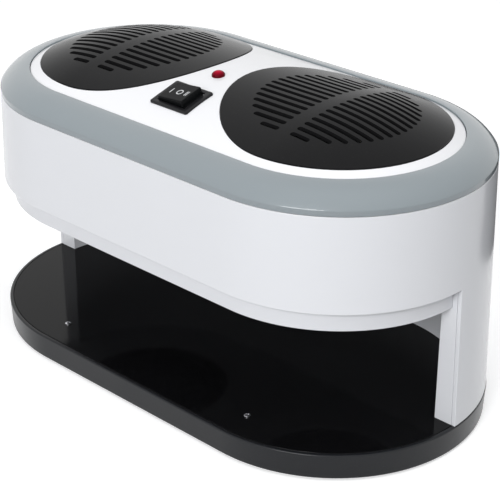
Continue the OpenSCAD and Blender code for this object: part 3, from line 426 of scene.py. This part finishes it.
# ------------------------------------------------------------------ screws in the base's top
# Two bright cross-head screws hold the panel down near the front corners.
screw_metal, tree, shader = new_material("bright_screw", Metallic=1.0, Base_Color=(0.50, 0.50, 0.52, 1))
add_surface(tree, shader, 0.12, 0.3, 0.1, 0.3)


def screw_head(radius, height, centre, steps=72, rings=26):
    """Pan head with a cross recess: z(r, a) = h sqrt(1 - 0.75 (r/R)^2) - recess, where the recess is
    a smooth cross |r sin 2a| narrower than its arm. Closed below by a flat."""
    a = np.linspace(0, 2 * math.pi, steps + 1)[:-1, None]
    r = radius * np.linspace(0, 1, rings)[None]
    dome = height * np.sqrt(1 - 0.75 * (r / radius) ** 2) * np.ones_like(a)
    u, v = np.abs(r * np.cos(a)), np.abs(r * np.sin(a))
    arm = np.clip((0.16 * radius - np.minimum(u, v)) / (0.08 * radius), 0, 1)
    end = np.clip((0.62 * radius - np.maximum(u, v)) / (0.2 * radius), 0, 1)
    z = dome - 0.75 * height * arm * end
    r = np.concatenate([np.broadcast_to(r, z.shape), np.full((steps, 1), radius), np.zeros((steps, 1))], 1)
    z = np.concatenate([z, np.zeros((steps, 2))], 1)
    points = np.stack([r * np.cos(a), r * np.sin(a), z], -1).reshape(-1, 3)
    return points + np.array(centre, float), grid_faces(steps, rings + 2, True, False)


SCREW_X, SCREW_Y = 81.0, -75.5
screw_heads = [screw_head(2.0, 1.2, (side * SCREW_X, SCREW_Y, BASE_TOP)) for side in (-1, 1)]
top_screws = piece("base_top_screws", screw_heads, screw_metal)
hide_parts("panel_screws")

# ------------------------------------------------------------------ rear liner and leg fronts
# White ABS wall round the back of the space for the hand, turned outwards at its two ends into
# the flat fronts of the legs. It stands on the base and is screwed to it from below.
white_plastic = moulded_material("white_plastic", (0.78, 0.79, 0.815), 0.20, 0.24, 0.02, 0.04, 0.008, 0.0,
                                 Coat_Weight=0.1, Coat_Roughness=0.10)
LIP_Z, SKIRT_Z, LEG_IN_R, LINER_WALL = 94.2, 107.5, 82.0, 2.2
SHELL_FOOT_R, SHELL_WALL = 97.0, 2.6
LEAN = math.tan(math.radians(1.22))
LIP_R = SHELL_FOOT_R - (SKIRT_Z - BASE_TOP) * LEAN - 5.9


def shell_r(z):
    """Radius of the round ends of the outer shell, which leans inwards as it rises."""
    return SHELL_FOOT_R - (z - BASE_TOP) * LEAN


def plate(front, back, keep, wrap=False):
    """Solid between two matching sheets of points, without the cells where keep is false. Its edge is
    closed by a wall wherever a front cell has no neighbour."""
    rows, columns = front.shape[:2]
    cells = np.array(grid_faces(rows, columns, wrap, False)).reshape(-1, 4)[keep.ravel()]
    points = np.concatenate([front.reshape(-1, 3), back.reshape(-1, 3)])
    keys = np.round(front.reshape(-1, 3) * 1e4).astype(np.int64)
    _, first, label = np.unique(keys, axis=0, return_index=True, return_inverse=True)
    cells = first[label.reshape(-1)[cells]]
    edges = {(int(a), int(b)) for cell in cells for a, b in zip(cell, np.roll(cell, -1)) if a != b}
    rim = [(a, b) for a, b in edges if (b, a) not in edges]
    offset = rows * columns
    faces = cells.tolist() + (cells[:, ::-1] + offset).tolist()
    faces += [[b, a, a + offset, b + offset] for a, b in rim]
    return points, faces


def end_arc(radius, start, stop, steps):
    """Points (x, y) of an arc about the middle of the right end."""
    a = np.radians(np.linspace(start, stop, steps))
    return np.stack([SPAN_HALF + radius * np.cos(a), radius * np.sin(a)], 1)


leg_x = np.array([shell_r(60) - SHELL_WALL - 0.25, 92.0, LIP_R + 0.05, 86.0])
front_line = np.concatenate([np.stack([SPAN_HALF + leg_x, 0 * leg_x], 1), end_arc(LEG_IN_R, 0, 90, 49)])
back_r = LEG_IN_R + LINER_WALL
back_line = np.concatenate([np.stack([SPAN_HALF + leg_x, 0 * leg_x + LINER_WALL], 1),
                            end_arc(back_r, math.degrees(math.asin(LINER_WALL / back_r)), 90, 49)])
rear_x = np.linspace(SPAN_HALF, 0, 9)[1:, None]
front_line = np.concatenate([front_line, np.hstack([rear_x, 0 * rear_x + LEG_IN_R])])
back_line = np.concatenate([back_line, np.hstack([rear_x, 0 * rear_x + back_r])])
front_line = np.concatenate([front_line, front_line[:-1][::-1] * [-1, 1]])
back_line = np.concatenate([back_line, back_line[:-1][::-1] * [-1, 1]])
levels = np.array([BASE_TOP, 36, 55, 75, LIP_Z, SKIRT_Z])


def upright(line):
    """The plan line raised through the levels: P(s, t) = (x(s), y(s), z(t)). Its ends follow the shell."""
    sheet = np.zeros((len(line), len(levels), 3))
    sheet[..., 0], sheet[..., 1], sheet[..., 2] = line[:, :1], line[:, 1:], levels[None]
    for end, side in ((0, 1), (-1, -1)):
        sheet[end, :, 0] = side * (SPAN_HALF + shell_r(levels) - SHELL_WALL - 0.2)
    return sheet


keep = np.ones((len(front_line) - 1, len(levels) - 1), bool)
keep[2:-2, -1] = False
liner = piece("rear_wall_liner", [plate(upright(front_line), upright(back_line), keep)], white_plastic, bevel=0.5)
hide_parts("rear_liner")

# ------------------------------------------------------------------ floor of the housing and its lip
# White ABS floor with a round outlet under each fan. Its upstand shows under the front of the shell
# as the set-back lip.
OUTLET_R, FLOOR_T = 51.0, 2.5
PAST_FRONT = 0.006


def end_reach(angle, radius):
    """Distance from the middle of the right end to the edge of the right half of a pill of that radius:
    the arc ahead of it, and the straight side or the middle line x = 0 behind it."""
    c, s = np.cos(angle), np.sin(angle)
    behind = np.minimum(radius / np.maximum(np.abs(s), 1e-9), SPAN_HALF / np.maximum(-c, 1e-9))
    return np.where(c >= 0, radius, behind)


def end_angles(radius, steps=192):
    """Angles round the middle of the right end, with one at each corner of the half pill and one on either
    side of the plane of the leg's front."""
    corner = math.pi - math.atan(radius / SPAN_HALF)
    a = np.linspace(-math.pi, math.pi, steps + 1)
    for exact in (corner, -corner):
        a[np.argmin(np.abs(a - exact))] = exact
    return np.sort(np.append(a, (PAST_FRONT, -PAST_FRONT)))


def both_halves(angle, reach, height):
    """Sheet of the right half, P(a, t) = (80 + d cos a, d sin a, z), then the same turned half round."""
    x = SPAN_HALF + reach * np.cos(angle)[:, None]
    y = reach * np.sin(angle)[:, None]
    right = np.stack([x, y, np.broadcast_to(height, x.shape)], -1)
    return np.concatenate([right, right * [-1, -1, 1]])


angle = end_angles(LIP_R)
reach = end_reach(angle, LIP_R)[:, None]
inner = end_reach(angle, LIP_R - LINER_WALL)[:, None]
share = np.array([0, 0.12, 0.35, 0.6, 0.8, 1.0])[None]
under = np.concatenate([OUTLET_R + (reach - OUTLET_R) * share, reach, reach], 1)
above = np.concatenate([OUTLET_R + (inner - OUTLET_R) * share, inner, inner], 1)
under_z = np.array([LIP_Z] * 6 + [LIP_Z + FLOOR_T, SKIRT_Z + 1.5])
above_z = np.array([LIP_Z + FLOOR_T] * 6 + [LIP_Z + FLOOR_T + 0.5, SKIRT_Z + 1.5])
keep = np.ones((2 * len(angle) - 1, len(under_z) - 1), bool)
keep[len(angle) - 1] = False
middle = 0.5 * (angle[:-1] + angle[1:])
for half, front in ((0, middle < PAST_FRONT), (len(angle), middle > -PAST_FRONT)):
    on_edge = np.abs(middle) < math.pi - math.atan(LIP_R / SPAN_HALF)
    keep[half:half + len(middle), -2:] = (front & on_edge)[:, None]
housing_floor = piece("housing_floor_and_lip", [plate(both_halves(angle, under, under_z),
                                                      both_halves(angle, above, above_z), keep)],
                      white_plastic, bevel=0.5)
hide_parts("roof_pan")

# ------------------------------------------------------------------ outer shell
# One white ABS moulding: the leaning band round the whole housing, carried down at the back and sides
# to the base. Its cut-away front ends in square edges at the legs.
RING_Z = 165.8
path = pill_path()
levels = np.array([BASE_TOP, 32, 48, 64, 80, 94, SKIRT_Z, 117, 128, 139, 150, RING_Z - 0.15])


def shell_sheet(offset):
    """P(s, t) = (cx + nx r(t), ny r(t), z(t)) with r(t) = R - lean (z - z0) - offset."""
    return round_pill(shell_r(levels) - offset, levels)


keep = np.ones((len(path), len(levels) - 1), bool)
front_half = np.minimum(path[:, 2], np.roll(path[:, 2], -1)) < -1e-9
keep[front_half, :np.searchsorted(levels, SKIRT_Z)] = False
shell = piece("outer_housing_shell", [plate(shell_sheet(0), shell_sheet(SHELL_WALL), keep, wrap=True)],
              white_plastic, bevel=0.35)
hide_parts("outer_shell")

# ------------------------------------------------------------------ grey ring
# Separate grey ABS moulding clamped on top of the shell: an upright band, a small edge round its top,
# then an arc that rises to the cover and ends level.
RING_R = shell_r(RING_Z)
BAND_Z, RING_RISE, RING_W = 169.2, 10.6, 19.2
RING_IN_R = RING_R - RING_W
COVER_EDGE_Z = BAND_Z + RING_RISE - 1.0
grey_plastic = moulded_material("grey_plastic", (0.235, 0.270, 0.287), 0.38, 0.46, 0.05, 0.12, 0.02, 0.0,
                                Specular_IOR_Level=0.3, Coat_Weight=1.0, Coat_Roughness=0.10)
RING_TOP_R = (RING_W ** 2 + RING_RISE ** 2) / (2 * RING_RISE)
EDGE_ROUND = 1.5
edge_turn = math.asin((RING_W - EDGE_ROUND) / (RING_TOP_R - EDGE_ROUND))
arc_z = BAND_Z + RING_RISE - RING_TOP_R
edge_z = arc_z + (RING_TOP_R - EDGE_ROUND) * math.cos(edge_turn)
lower = rounded([(RING_R - 2.4, RING_Z + 0.15, 0), (RING_R, RING_Z + 0.15, 0.3), (RING_R, edge_z - 0.4, 0)])
a = np.linspace(math.pi / 2, edge_turn, 9)[:, None]
edge = np.array([RING_R - EDGE_ROUND, edge_z]) + EDGE_ROUND * np.concatenate([np.sin(a), np.cos(a)], 1)
a = np.linspace(edge_turn, 0, 41)[1:]
shoulder = np.stack([RING_IN_R + RING_TOP_R * np.sin(a), arc_z + RING_TOP_R * np.cos(a)], 1)
inner_edge = rounded([(RING_IN_R + 2, BAND_Z + RING_RISE, 0), (RING_IN_R, BAND_Z + RING_RISE, 0.4),
                      (RING_IN_R, COVER_EDGE_Z - 3, 0)])[1:]
hidden = np.array([(RING_IN_R - 5.2, COVER_EDGE_Z - 3), (RING_IN_R - 5.2, COVER_EDGE_Z - 5.4),
                   (RING_R - 9.0, COVER_EDGE_Z - 5.4), (RING_R - 2.4, BAND_Z - 0.4)])
shoulder = shoulder[shoulder[:, 0] > RING_IN_R + 1.2]
ring_line = np.concatenate([lower, edge, shoulder, inner_edge, hidden])
ring = piece("grey_top_ring", [pill_sweep(ring_line, closed=True)], grey_plastic)
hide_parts("top_ring")

# ------------------------------------------------------------------ crowned cover
# White ABS cover, crowned from the ring to its middle line, with a stepped round hole for each grille.
COVER_R = RING_IN_R - 0.3
CROWN_RISE = 17.0
CROWN_TOP = COVER_EDGE_Z + CROWN_RISE
CROWN_R = (COVER_R ** 2 + CROWN_RISE ** 2) / (2 * CROWN_RISE)
GRILLE_R = 67.4


def crown(x, y):
    """Height of the cover: z = top - R + sqrt(R^2 - d^2), d the distance from the middle line of the pill."""
    d2 = np.maximum(np.abs(x) - SPAN_HALF, 0) ** 2 + y ** 2
    return CROWN_TOP - CROWN_R + np.sqrt(CROWN_R ** 2 - d2)


angle = end_angles(COVER_R)
reach = end_reach(angle, COVER_R)[:, None]
hole, lip = GRILLE_R + 0.3, GRILLE_R - 3.4
ones = np.ones_like(reach)
share = np.linspace(0, 1, 10)[None]
top_reach = np.concatenate([lip * ones, hole * ones, hole + (reach - hole) * share], 1)
low_reach = np.concatenate([lip * ones, (lip + 2) * ones, hole + (reach - hole) * share], 1)
top = both_halves(angle, top_reach, 0)
low = both_halves(angle, low_reach, 0)
top[..., 2] = crown(top[..., 0], top[..., 1])
low[..., 2] = crown(low[..., 0], low[..., 1]) - 2.5
top[:, :2, 2] -= 1.5
keep = np.ones((2 * len(angle) - 1, top.shape[1] - 1), bool)
keep[len(angle) - 1] = False
cover_white = moulded_material("cover_white", (0.855, 0.858, 0.875), 0.18, 0.22, 0.02, 0.03, 0.006, 0.0,
                               Coat_Weight=0.1, Coat_Roughness=0.08)
cover = piece("crowned_white_cover", [plate(top, low, keep)], cover_white, bevel=0.4)
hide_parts("crown_cover")

# ------------------------------------------------------------------ intake grilles
# Two round black ABS grilles snapped into the cover. Each has rows of round-ended slots either side of
# a bar down its middle, and follows the crown.
grille_black = moulded_material("grille_black", (0.0105, 0.0105, 0.011), 0.14, 0.20, 0.02, 0.1, 0.15, 0.03,
                                Specular_IOR_Level=0.075)
SLOT_ROWS, SLOT_PITCH, SLOT_HALF, FIELD_R, BAR_HALF = 16, 6.0, 1.6, 48.5, 4.5


def grille_plan():
    """Grid of the disc: lines across it at rising y, and five stretches along each line, from the rim to
    the slots' outer ends, along the slots, over the bar, and back. In a slot's row the ends of the
    stretches follow its round ends: x = end + r cos p, y = y0 + r sin p."""
    lines, slotted = [], []
    start = BAR_HALF + SLOT_HALF
    rows = (np.arange(SLOT_ROWS) - (SLOT_ROWS - 1) / 2) * SLOT_PITCH
    ends = np.sqrt(FIELD_R ** 2 - rows ** 2) - SLOT_HALF
    p = np.radians(np.linspace(-90, 90, 9))
    for k, (y0, end) in enumerate(zip(rows, ends)):
        for q in p:
            bulge = SLOT_HALF * math.cos(q)
            lines.append((y0 + SLOT_HALF * math.sin(q), start - bulge, end + bulge))
            slotted.append(q < p[-1])
        if k < SLOT_ROWS - 1:
            for t in (1 / 3, 2 / 3):
                between = y0 + SLOT_HALF + t * (SLOT_PITCH - 2 * SLOT_HALF)
                lines.append((between, start, end + t * (ends[k + 1] - end)))
                slotted.append(False)
    lines = np.array(lines)
    edge = lines[-1]
    wide = math.sqrt(GRILLE_R ** 2 - edge[0] ** 2)
    beyond = np.linspace(math.asin(edge[0] / GRILLE_R), math.pi / 2, 20)[1:]
    half_width = GRILLE_R * np.cos(beyond)
    cap = np.stack([GRILLE_R * np.sin(beyond), half_width * edge[1] / wide, half_width * edge[2] / wide], 1)
    lines = np.concatenate([(cap * [-1, 1, 1])[::-1], lines, cap])
    slotted = [False] * len(cap) + slotted[:-1] + [False] * len(cap)
    y, inside, outside = lines.T
    rim = np.sqrt(np.maximum(GRILLE_R ** 2 - y ** 2, 0))
    knots = np.stack([-rim, -outside, -inside, inside, outside, rim], 1)
    cells = [7, 22, 5, 22, 7]
    along = np.concatenate([k + np.linspace(0, 1, n + 1)[:-1] for k, n in enumerate(cells)] + [[5.0]])
    x = np.stack([np.interp(along, np.arange(6), row) for row in knots])
    in_slot = np.repeat([False, True, False, True, False], cells)
    keep = ~(np.array(slotted)[:, None] & in_slot[None])
    return x, np.broadcast_to(y[:, None], x.shape), keep


for side, label in ((-1, "left"), (1, "right")):
    x, y, keep = grille_plan()
    sheets = []
    for height in (0.5, -1.5):
        sheets.append(np.stack([x + side * SPAN_HALF, y, crown(x + side * SPAN_HALF, y) + height], -1))
    grille = piece(f"{label}_intake_grille", [plate(sheets[0], sheets[1], keep)], grille_black, bevel=0.42)
    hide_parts(f"intake_grille_{label}")

# ------------------------------------------------------------------ fans
# Each fan's rotor is a hub cup with seven swept, twisted blades. It turns on its shaft.
fan_black = moulded_material("fan_black", (0.022, 0.022, 0.024), 0.38, 0.5, 0.05, 0.3, 0.2, 0.1)
FAN_Z, HUB_R, TIP_R, BLADES = 139.2, 21.0, 55.8, 7


def blade(centre_x, turn):
    """Twisted blade: P(u, v) = (cx + s cos q, s sin q, z) with s from hub to tip, z across the fan's depth
    and q = turn + z / (s tan pitch), swept back towards the tip. The pitch eases from 46 degrees at the hub
    to 30 at the tip."""
    s = np.linspace(HUB_R - 0.6, TIP_R, 14)[:, None]
    v = np.linspace(-1, 1, 11)[None]
    t = (s - HUB_R) / (TIP_R - HUB_R)
    pitch = np.radians(46 - 16 * t)
    rise = 8.1 * (1 - 0.12 * t ** 2)
    sheets = []
    for thick in (0.6, -0.6):
        z = rise * v + thick * np.cos(pitch) + 0.8 * (1 - v ** 2)
        sweep = 0.25 * np.maximum(t, 0) ** 1.5
        q = turn + rise * v / (s * np.tan(pitch)) - thick * np.sin(pitch) / s + sweep
        sheets.append(np.stack([centre_x + s * np.cos(q), s * np.sin(q), FAN_Z + 12.6 + z], -1))
    return plate(sheets[0], sheets[1], np.ones((13, 10), bool))


for side, label in ((-1, "left"), (1, "right")):
    centre_x = side * SPAN_HALF
    hub_line = rounded([(0, FAN_Z + 21.3, 0), (HUB_R, FAN_Z + 21.3, 1.6), (HUB_R, FAN_Z + 4, 0.3),
                        (HUB_R - 2, FAN_Z + 4, 0.3), (HUB_R - 2, FAN_Z + 19.4, 0), (0, FAN_Z + 19.4, 0)])
    shells = [lathe(hub_line, (centre_x, 0, 0), 96)]
    shells += [blade(centre_x, 2 * math.pi * k / BLADES) for k in range(BLADES)]
    rotor = piece(f"{label}_fan_blades", shells, fan_black, body=f"{label}_fan")
    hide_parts(f"fan_rotor_{label}")

# ------------------------------------------------------------------ rocker switch
# A stock panel switch: a black bezel round a well, and a rocker that stands pressed to I at rest.
SWITCH_Y = 46.9
SLOPE = math.asin(SWITCH_Y / CROWN_R)
SWITCH_PLACE = np.array([0, -SWITCH_Y, float(crown(0, SWITCH_Y))])
SWITCH_TURN = np.array(Matrix.Rotation(SLOPE, 3, "X"))
TILT_TURN = np.array(Matrix.Rotation(math.radians(-6), 3, "Y"))
PIVOT_DROP = np.array([0, 0, 3.0])


def rounded_loft(half_l, half_w, corner, line, stretch=1.0, steps=10):
    """Rounded rectangle lofted along (inset, height): each ring's half sizes are half_l - stretch inset and
    half_w - inset, and its corner radius is max(corner - inset, 0.1)."""
    rings = []
    q = np.linspace(0, math.pi / 2, steps + 1)
    straight = np.linspace(0, 1, 9)[1:-1]
    for inset, height in line:
        l, w = max(half_l - stretch * inset, 0.0), max(half_w - inset, 0.0)
        c = min(max(corner - inset, 0.1), max(min(l, w), 1e-6))
        ring = []
        for k, (sx, sy) in enumerate(((1, 1), (-1, 1), (-1, -1), (1, -1))):
            turn = q + k * math.pi / 2
            ring.append(np.stack([sx * (l - c) + c * np.cos(turn), sy * (w - c) + c * np.sin(turn)], 1))
        whole = []
        for k in range(4):
            a, b = ring[k][-1], ring[(k + 1) % 4][0]
            whole += [ring[k], a + (b - a) * straight[:, None]]
        whole = np.concatenate(whole)
        rings.append(np.column_stack([whole, np.full(len(whole), height)]))
    sheet = np.stack(rings, 1)
    return sheet.reshape(-1, 3), grid_faces(sheet.shape[0], sheet.shape[1], True, False)


def on_switch(shell, tilted=False):
    """Moves a shell from the switch's own frame onto the cover's slope, tilted about the pivot if asked."""
    points, faces = shell
    if tilted:
        points = points @ TILT_TURN.T - PIVOT_DROP
    return points @ SWITCH_TURN.T + SWITCH_PLACE, faces


switch_black = moulded_material("switch_black", (0.010, 0.010, 0.0115), 0.28, 0.36, 0.04, 0.3, 0.1, 0.03,
                                Specular_IOR_Level=0.22)
bezel_line = [(11.9, -20), (1.6, -20), (1.4, -19.8), (1.4, -0.6), (0.1, -0.6), (0, -0.5), (0, 0.6), (0.12, 0.95),
              (0.45, 1.17), (0.8, 1.2), (2.6, 1.2), (2.85, 1.12), (3.0, 0.9), (3.05, -9.9), (3.15, -10), (11.9, -10)]
bezel = piece("switch_bezel", [on_switch(rounded_loft(15.3, 11.9, 1.2, bezel_line, stretch=1.34))], switch_black)
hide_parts("switch_body")

# The rocker's marks are printed white: a bar, a ring and a double bar, drawn on its own x and y in mm.
rocker_plastic, tree, shader = new_material("rocker_plastic", Specular_IOR_Level=0.07)
add_surface(tree, shader, 0.24, 0.34, 0.04, 0.25)
rocker_tone = add_tone(tree, (0.004, 0.0045, 0.005), 0.1, 0.05)
UV_SPAN, MARKS_DOWN = 40.0, 0.4
at = add_node(tree, "ShaderNodeUVMap", {"uv_map": "UVMap"})
split = add_node(tree, "ShaderNodeSeparateXYZ")
tree.links.new(at.outputs["UV"], split.inputs[0])


def math_node(tree, operation, first, second=None, third=None):
    """One Math node whose inputs are sockets or numbers."""
    made = add_node(tree, "ShaderNodeMath", {"operation": operation})
    for k, value in enumerate((first, second, third)):
        if value is None:
            continue
        if isinstance(value, (int, float)):
            made.inputs[k].default_value = value
        else:
            tree.links.new(value, made.inputs[k])
    return made.outputs[0]


mark_x = math_node(tree, "MULTIPLY_ADD", split.outputs["X"], UV_SPAN, -UV_SPAN / 2)
mark_y = math_node(tree, "MULTIPLY_ADD", split.outputs["Y"], UV_SPAN, MARKS_DOWN - UV_SPAN / 2)


def inked(distance):
    """1 inside a shape, 0 outside, from the signed distance to its edge in mm."""
    return math_node(tree, "SUBTRACT", 0.5, math_node(tree, "MULTIPLY", distance, 12.0))


def bar_mark(x0, half_l, half_w):
    """Signed distance to an upright bar: max(|x - x0| - w, |y| - l)."""
    dx = math_node(tree, "ABSOLUTE", math_node(tree, "SUBTRACT", mark_x, x0))
    dy = math_node(tree, "ABSOLUTE", mark_y)
    beside, beyond = math_node(tree, "SUBTRACT", dx, half_w), math_node(tree, "SUBTRACT", dy, half_l)
    return math_node(tree, "MAXIMUM", beside, beyond)


ring_x = math_node(tree, "SUBTRACT", mark_x, 1.1)
squares = [math_node(tree, "MULTIPLY", part, part) for part in (ring_x, mark_y)]
from_middle = math_node(tree, "SQRT", math_node(tree, "ADD", *squares))
from_ring = math_node(tree, "ABSOLUTE", math_node(tree, "SUBTRACT", from_middle, 2.0))
marks = math_node(tree, "SUBTRACT", from_ring, 0.34)
for bar_x, bar_half_w in ((-5.9, 0.34), (6.3, 0.27), (7.5, 0.27)):
    marks = math_node(tree, "MINIMUM", marks, bar_mark(bar_x, 2.25, bar_half_w))
ink = add_node(tree, "ShaderNodeMix", {"data_type": "RGBA"})
ink.inputs["B"].default_value = (0.72, 0.73, 0.74, 1)
clamped = add_node(tree, "ShaderNodeClamp")
tree.links.new(inked(marks), clamped.inputs["Value"])
tree.links.new(clamped.outputs[0], ink.inputs["Factor"])
tree.links.new(rocker_tone, ink.inputs["A"])
tree.links.new(ink.outputs["Result"], shader.inputs["Base Color"])


def rocker_uv(points):
    """The rocker's own x and y, UV_SPAN mm to the unit."""
    own = ((points - SWITCH_PLACE) @ SWITCH_TURN + PIVOT_DROP) @ TILT_TURN
    return own[:, :2] / UV_SPAN + 0.5


rocker_line = [(8.55, -4), (0.4, -4), (0.1, -3.6), (0, 6.5), (0.04, 6.85), (0.16, 7.12), (0.36, 7.27), (0.6, 7.3)]
rocker_line += [(d, 7.3) for d in (1.2, 2.2, 3.4, 4.8, 6.4, 8.0, 8.55)]
rocker = piece("switch_rocker_key", [on_switch(rounded_loft(10.4, 8.55, 0.8, rocker_line), tilted=True)],
               rocker_plastic, body="rocker", uv=rocker_uv)
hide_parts("switch_rocker")

# ------------------------------------------------------------------ indicator lamp
# Clear red lens with a moulded pattern inside, clipped into the cover behind the switch. Painted shade darkens
# its red from the middle to the rim, and a faint painted glow lies in its middle.
LAMP_Y, LAMP_R = 16.0, 4.1
LAMP_PLACE = np.array([0, -LAMP_Y, float(crown(0, LAMP_Y))])
LAMP_TURN = np.array(Matrix.Rotation(math.asin(LAMP_Y / CROWN_R), 3, "X"))
red_lens, tree, shader = new_material("red_lens", Coat_Weight=0.05, Coat_Roughness=0.05, Specular_IOR_Level=0.03,
                                      Emission_Strength=1.0)
at = add_node(tree, "ShaderNodeTexCoord")
facets = add_node(tree, "ShaderNodeTexVoronoi", Scale=900.0)
facet_bump = add_node(tree, "ShaderNodeBump", Strength=0.5, Distance=0.0004)
from_axis = add_node(tree, "ShaderNodeUVMap", {"uv_map": "UVMap"})
apart = add_node(tree, "ShaderNodeSeparateXYZ")
# Painted shade: the lens's red darkens from its middle to its rim, by distance from the axis.
red_with_painted_rim_shade = add_node(tree, "ShaderNodeValToRGB")
red_with_painted_rim_shade.color_ramp.elements[0].color = (0.50, 0.003, 0.030, 1)
red_with_painted_rim_shade.color_ramp.elements[0].position = 0.15
red_with_painted_rim_shade.color_ramp.elements[1].color = (0.10, 0.0, 0.005, 1)
red_with_painted_rim_shade.color_ramp.elements[1].position = 0.95
# Painted glow: a faint red emission in the lens's middle that fades to none at the rim.
painted_middle_glow = add_node(tree, "ShaderNodeMix", {"data_type": "RGBA"})
painted_middle_glow.inputs["A"].default_value = (0.05, 0.0, 0.003, 1)
painted_middle_glow.inputs["B"].default_value = (0.0, 0.0, 0.0, 1)
surface = add_node(tree, "ShaderNodeGroup", {"node_tree": moulded}, Low=0.08, High=0.16, Peel=0.0, Grain=0.0)
tree.links.new(at.outputs["Object"], facets.inputs["Vector"])
tree.links.new(facets.outputs["Distance"], facet_bump.inputs["Height"])
tree.links.new(from_axis.outputs["UV"], apart.inputs[0])
tree.links.new(apart.outputs["X"], red_with_painted_rim_shade.inputs["Fac"])
tree.links.new(apart.outputs["X"], painted_middle_glow.inputs["Factor"])
tree.links.new(red_with_painted_rim_shade.outputs["Color"], shader.inputs["Base Color"])
tree.links.new(painted_middle_glow.outputs["Result"], shader.inputs["Emission Color"])
tree.links.new(surface.outputs["Roughness"], shader.inputs["Roughness"])
tree.links.new(facet_bump.outputs["Normal"], shader.inputs["Normal"])


def lens_uv(points):
    """Distance from the lens's axis as a share of its radius."""
    own = (points - LAMP_PLACE) @ LAMP_TURN
    share = np.hypot(own[:, 0], own[:, 1]) / LAMP_R
    return np.stack([share, share], 1)


lens_line = rounded([(0, -9, 0), (3.0, -9, 0.2), (3.0, -0.4, 0), (LAMP_R, -0.4, 0), (LAMP_R, 0.5, 0)])
a = np.radians(np.linspace(0, 90, 13))[1:]
dome = np.stack([LAMP_R * np.cos(a), 0.5 + 2.6 * np.sin(a)], 1)
lens = piece("indicator_lens_red", [lathe(np.concatenate([lens_line, dome]), LAMP_PLACE, 48, LAMP_TURN)], red_lens,
             uv=lens_uv)
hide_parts("indicator_lens")

# ------------------------------------------------------------------ cord gland
# Black nylon bush in the back of the shell, where the supply cord goes in.
GLAND_Z, GLAND_R = 120.2, 6.5
gland_turn = Matrix.Rotation(math.radians(-90), 3, "X")
gland_line = rounded([(2.7, -9, 0), (2.7, 2, 0.4), (GLAND_R, 2, 0.7), (GLAND_R, 0, 0), (5, 0, 0), (5, -9, 0),
                      (2.7, -9, 0)])
gland_shell = lathe(gland_line, (0, shell_r(GLAND_Z - GLAND_R), GLAND_Z), 64, gland_turn)
gland = piece("cord_entry_gland", [gland_shell], black_satin)
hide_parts("cord_gland")

# ------------------------------------------------------------------ parts inside and underneath
# The remaining solids keep their CAD shape: ducts, heaters, fan frames, board, wiring and screws.
slot_of = {part["node"]: part["material_slot"] for part in frame["record"]["subparts"]}
inner_looks = {
    "black_plastic": ((0.020, 0.020, 0.022), 0.35, 0.5, {}),
    "white_plastic": ((0.80, 0.80, 0.81), 0.25, 0.4, {}),
    "fan_plastic": ((0.022, 0.022, 0.024), 0.4, 0.55, {}),
    "screw_steel": ((0.62, 0.62, 0.63), 0.2, 0.4, {"Metallic": 1.0}),
    "duct_plastic": ((0.06, 0.06, 0.06), 0.5, 0.65, {}),
    "heater_board": ((0.20, 0.11, 0.06), 0.5, 0.7, {}),
    "aluminium": ((0.70, 0.70, 0.71), 0.25, 0.45, {"Metallic": 1.0}),
    "stator": ((0.33, 0.13, 0.05), 0.3, 0.5, {"Metallic": 0.6}),
    "magnet": ((0.06, 0.06, 0.065), 0.5, 0.7, {}),
    "bronze": ((0.55, 0.36, 0.16), 0.35, 0.5, {"Metallic": 1.0}),
    "brass": ((0.70, 0.52, 0.22), 0.25, 0.4, {"Metallic": 1.0}),
    "board_green": ((0.01, 0.11, 0.04), 0.3, 0.45, {}),
    "board_parts": ((0.05, 0.05, 0.055), 0.4, 0.6, {}),
    "nylon": ((0.72, 0.68, 0.58), 0.4, 0.55, {}),
    "cutout_resin": ((0.36, 0.27, 0.17), 0.5, 0.7, {}),
    "wire_red": ((0.42, 0.02, 0.02), 0.4, 0.55, {}),
    "wire_black": ((0.02, 0.02, 0.02), 0.4, 0.55, {}),
    "wire_blue": ((0.02, 0.06, 0.33), 0.4, 0.55, {}),
    "wire_white": ((0.70, 0.70, 0.68), 0.6, 0.8, {}),
    "wire_brown": ((0.14, 0.06, 0.02), 0.4, 0.55, {}),
}
looks = {}
for name, cad in frame["nodes"].items():
    if cad.hide_render:
        continue
    kind = slot_of[name]
    if kind not in looks:
        colour, low, high, constants = inner_looks[kind]
        looks[kind] = moulded_material(f"inner_{kind}", colour, low, high, 0.1, 0.3, 0.15, 0.08, **constants)
    cad.data.materials.clear()
    cad.data.materials.append(looks[kind])
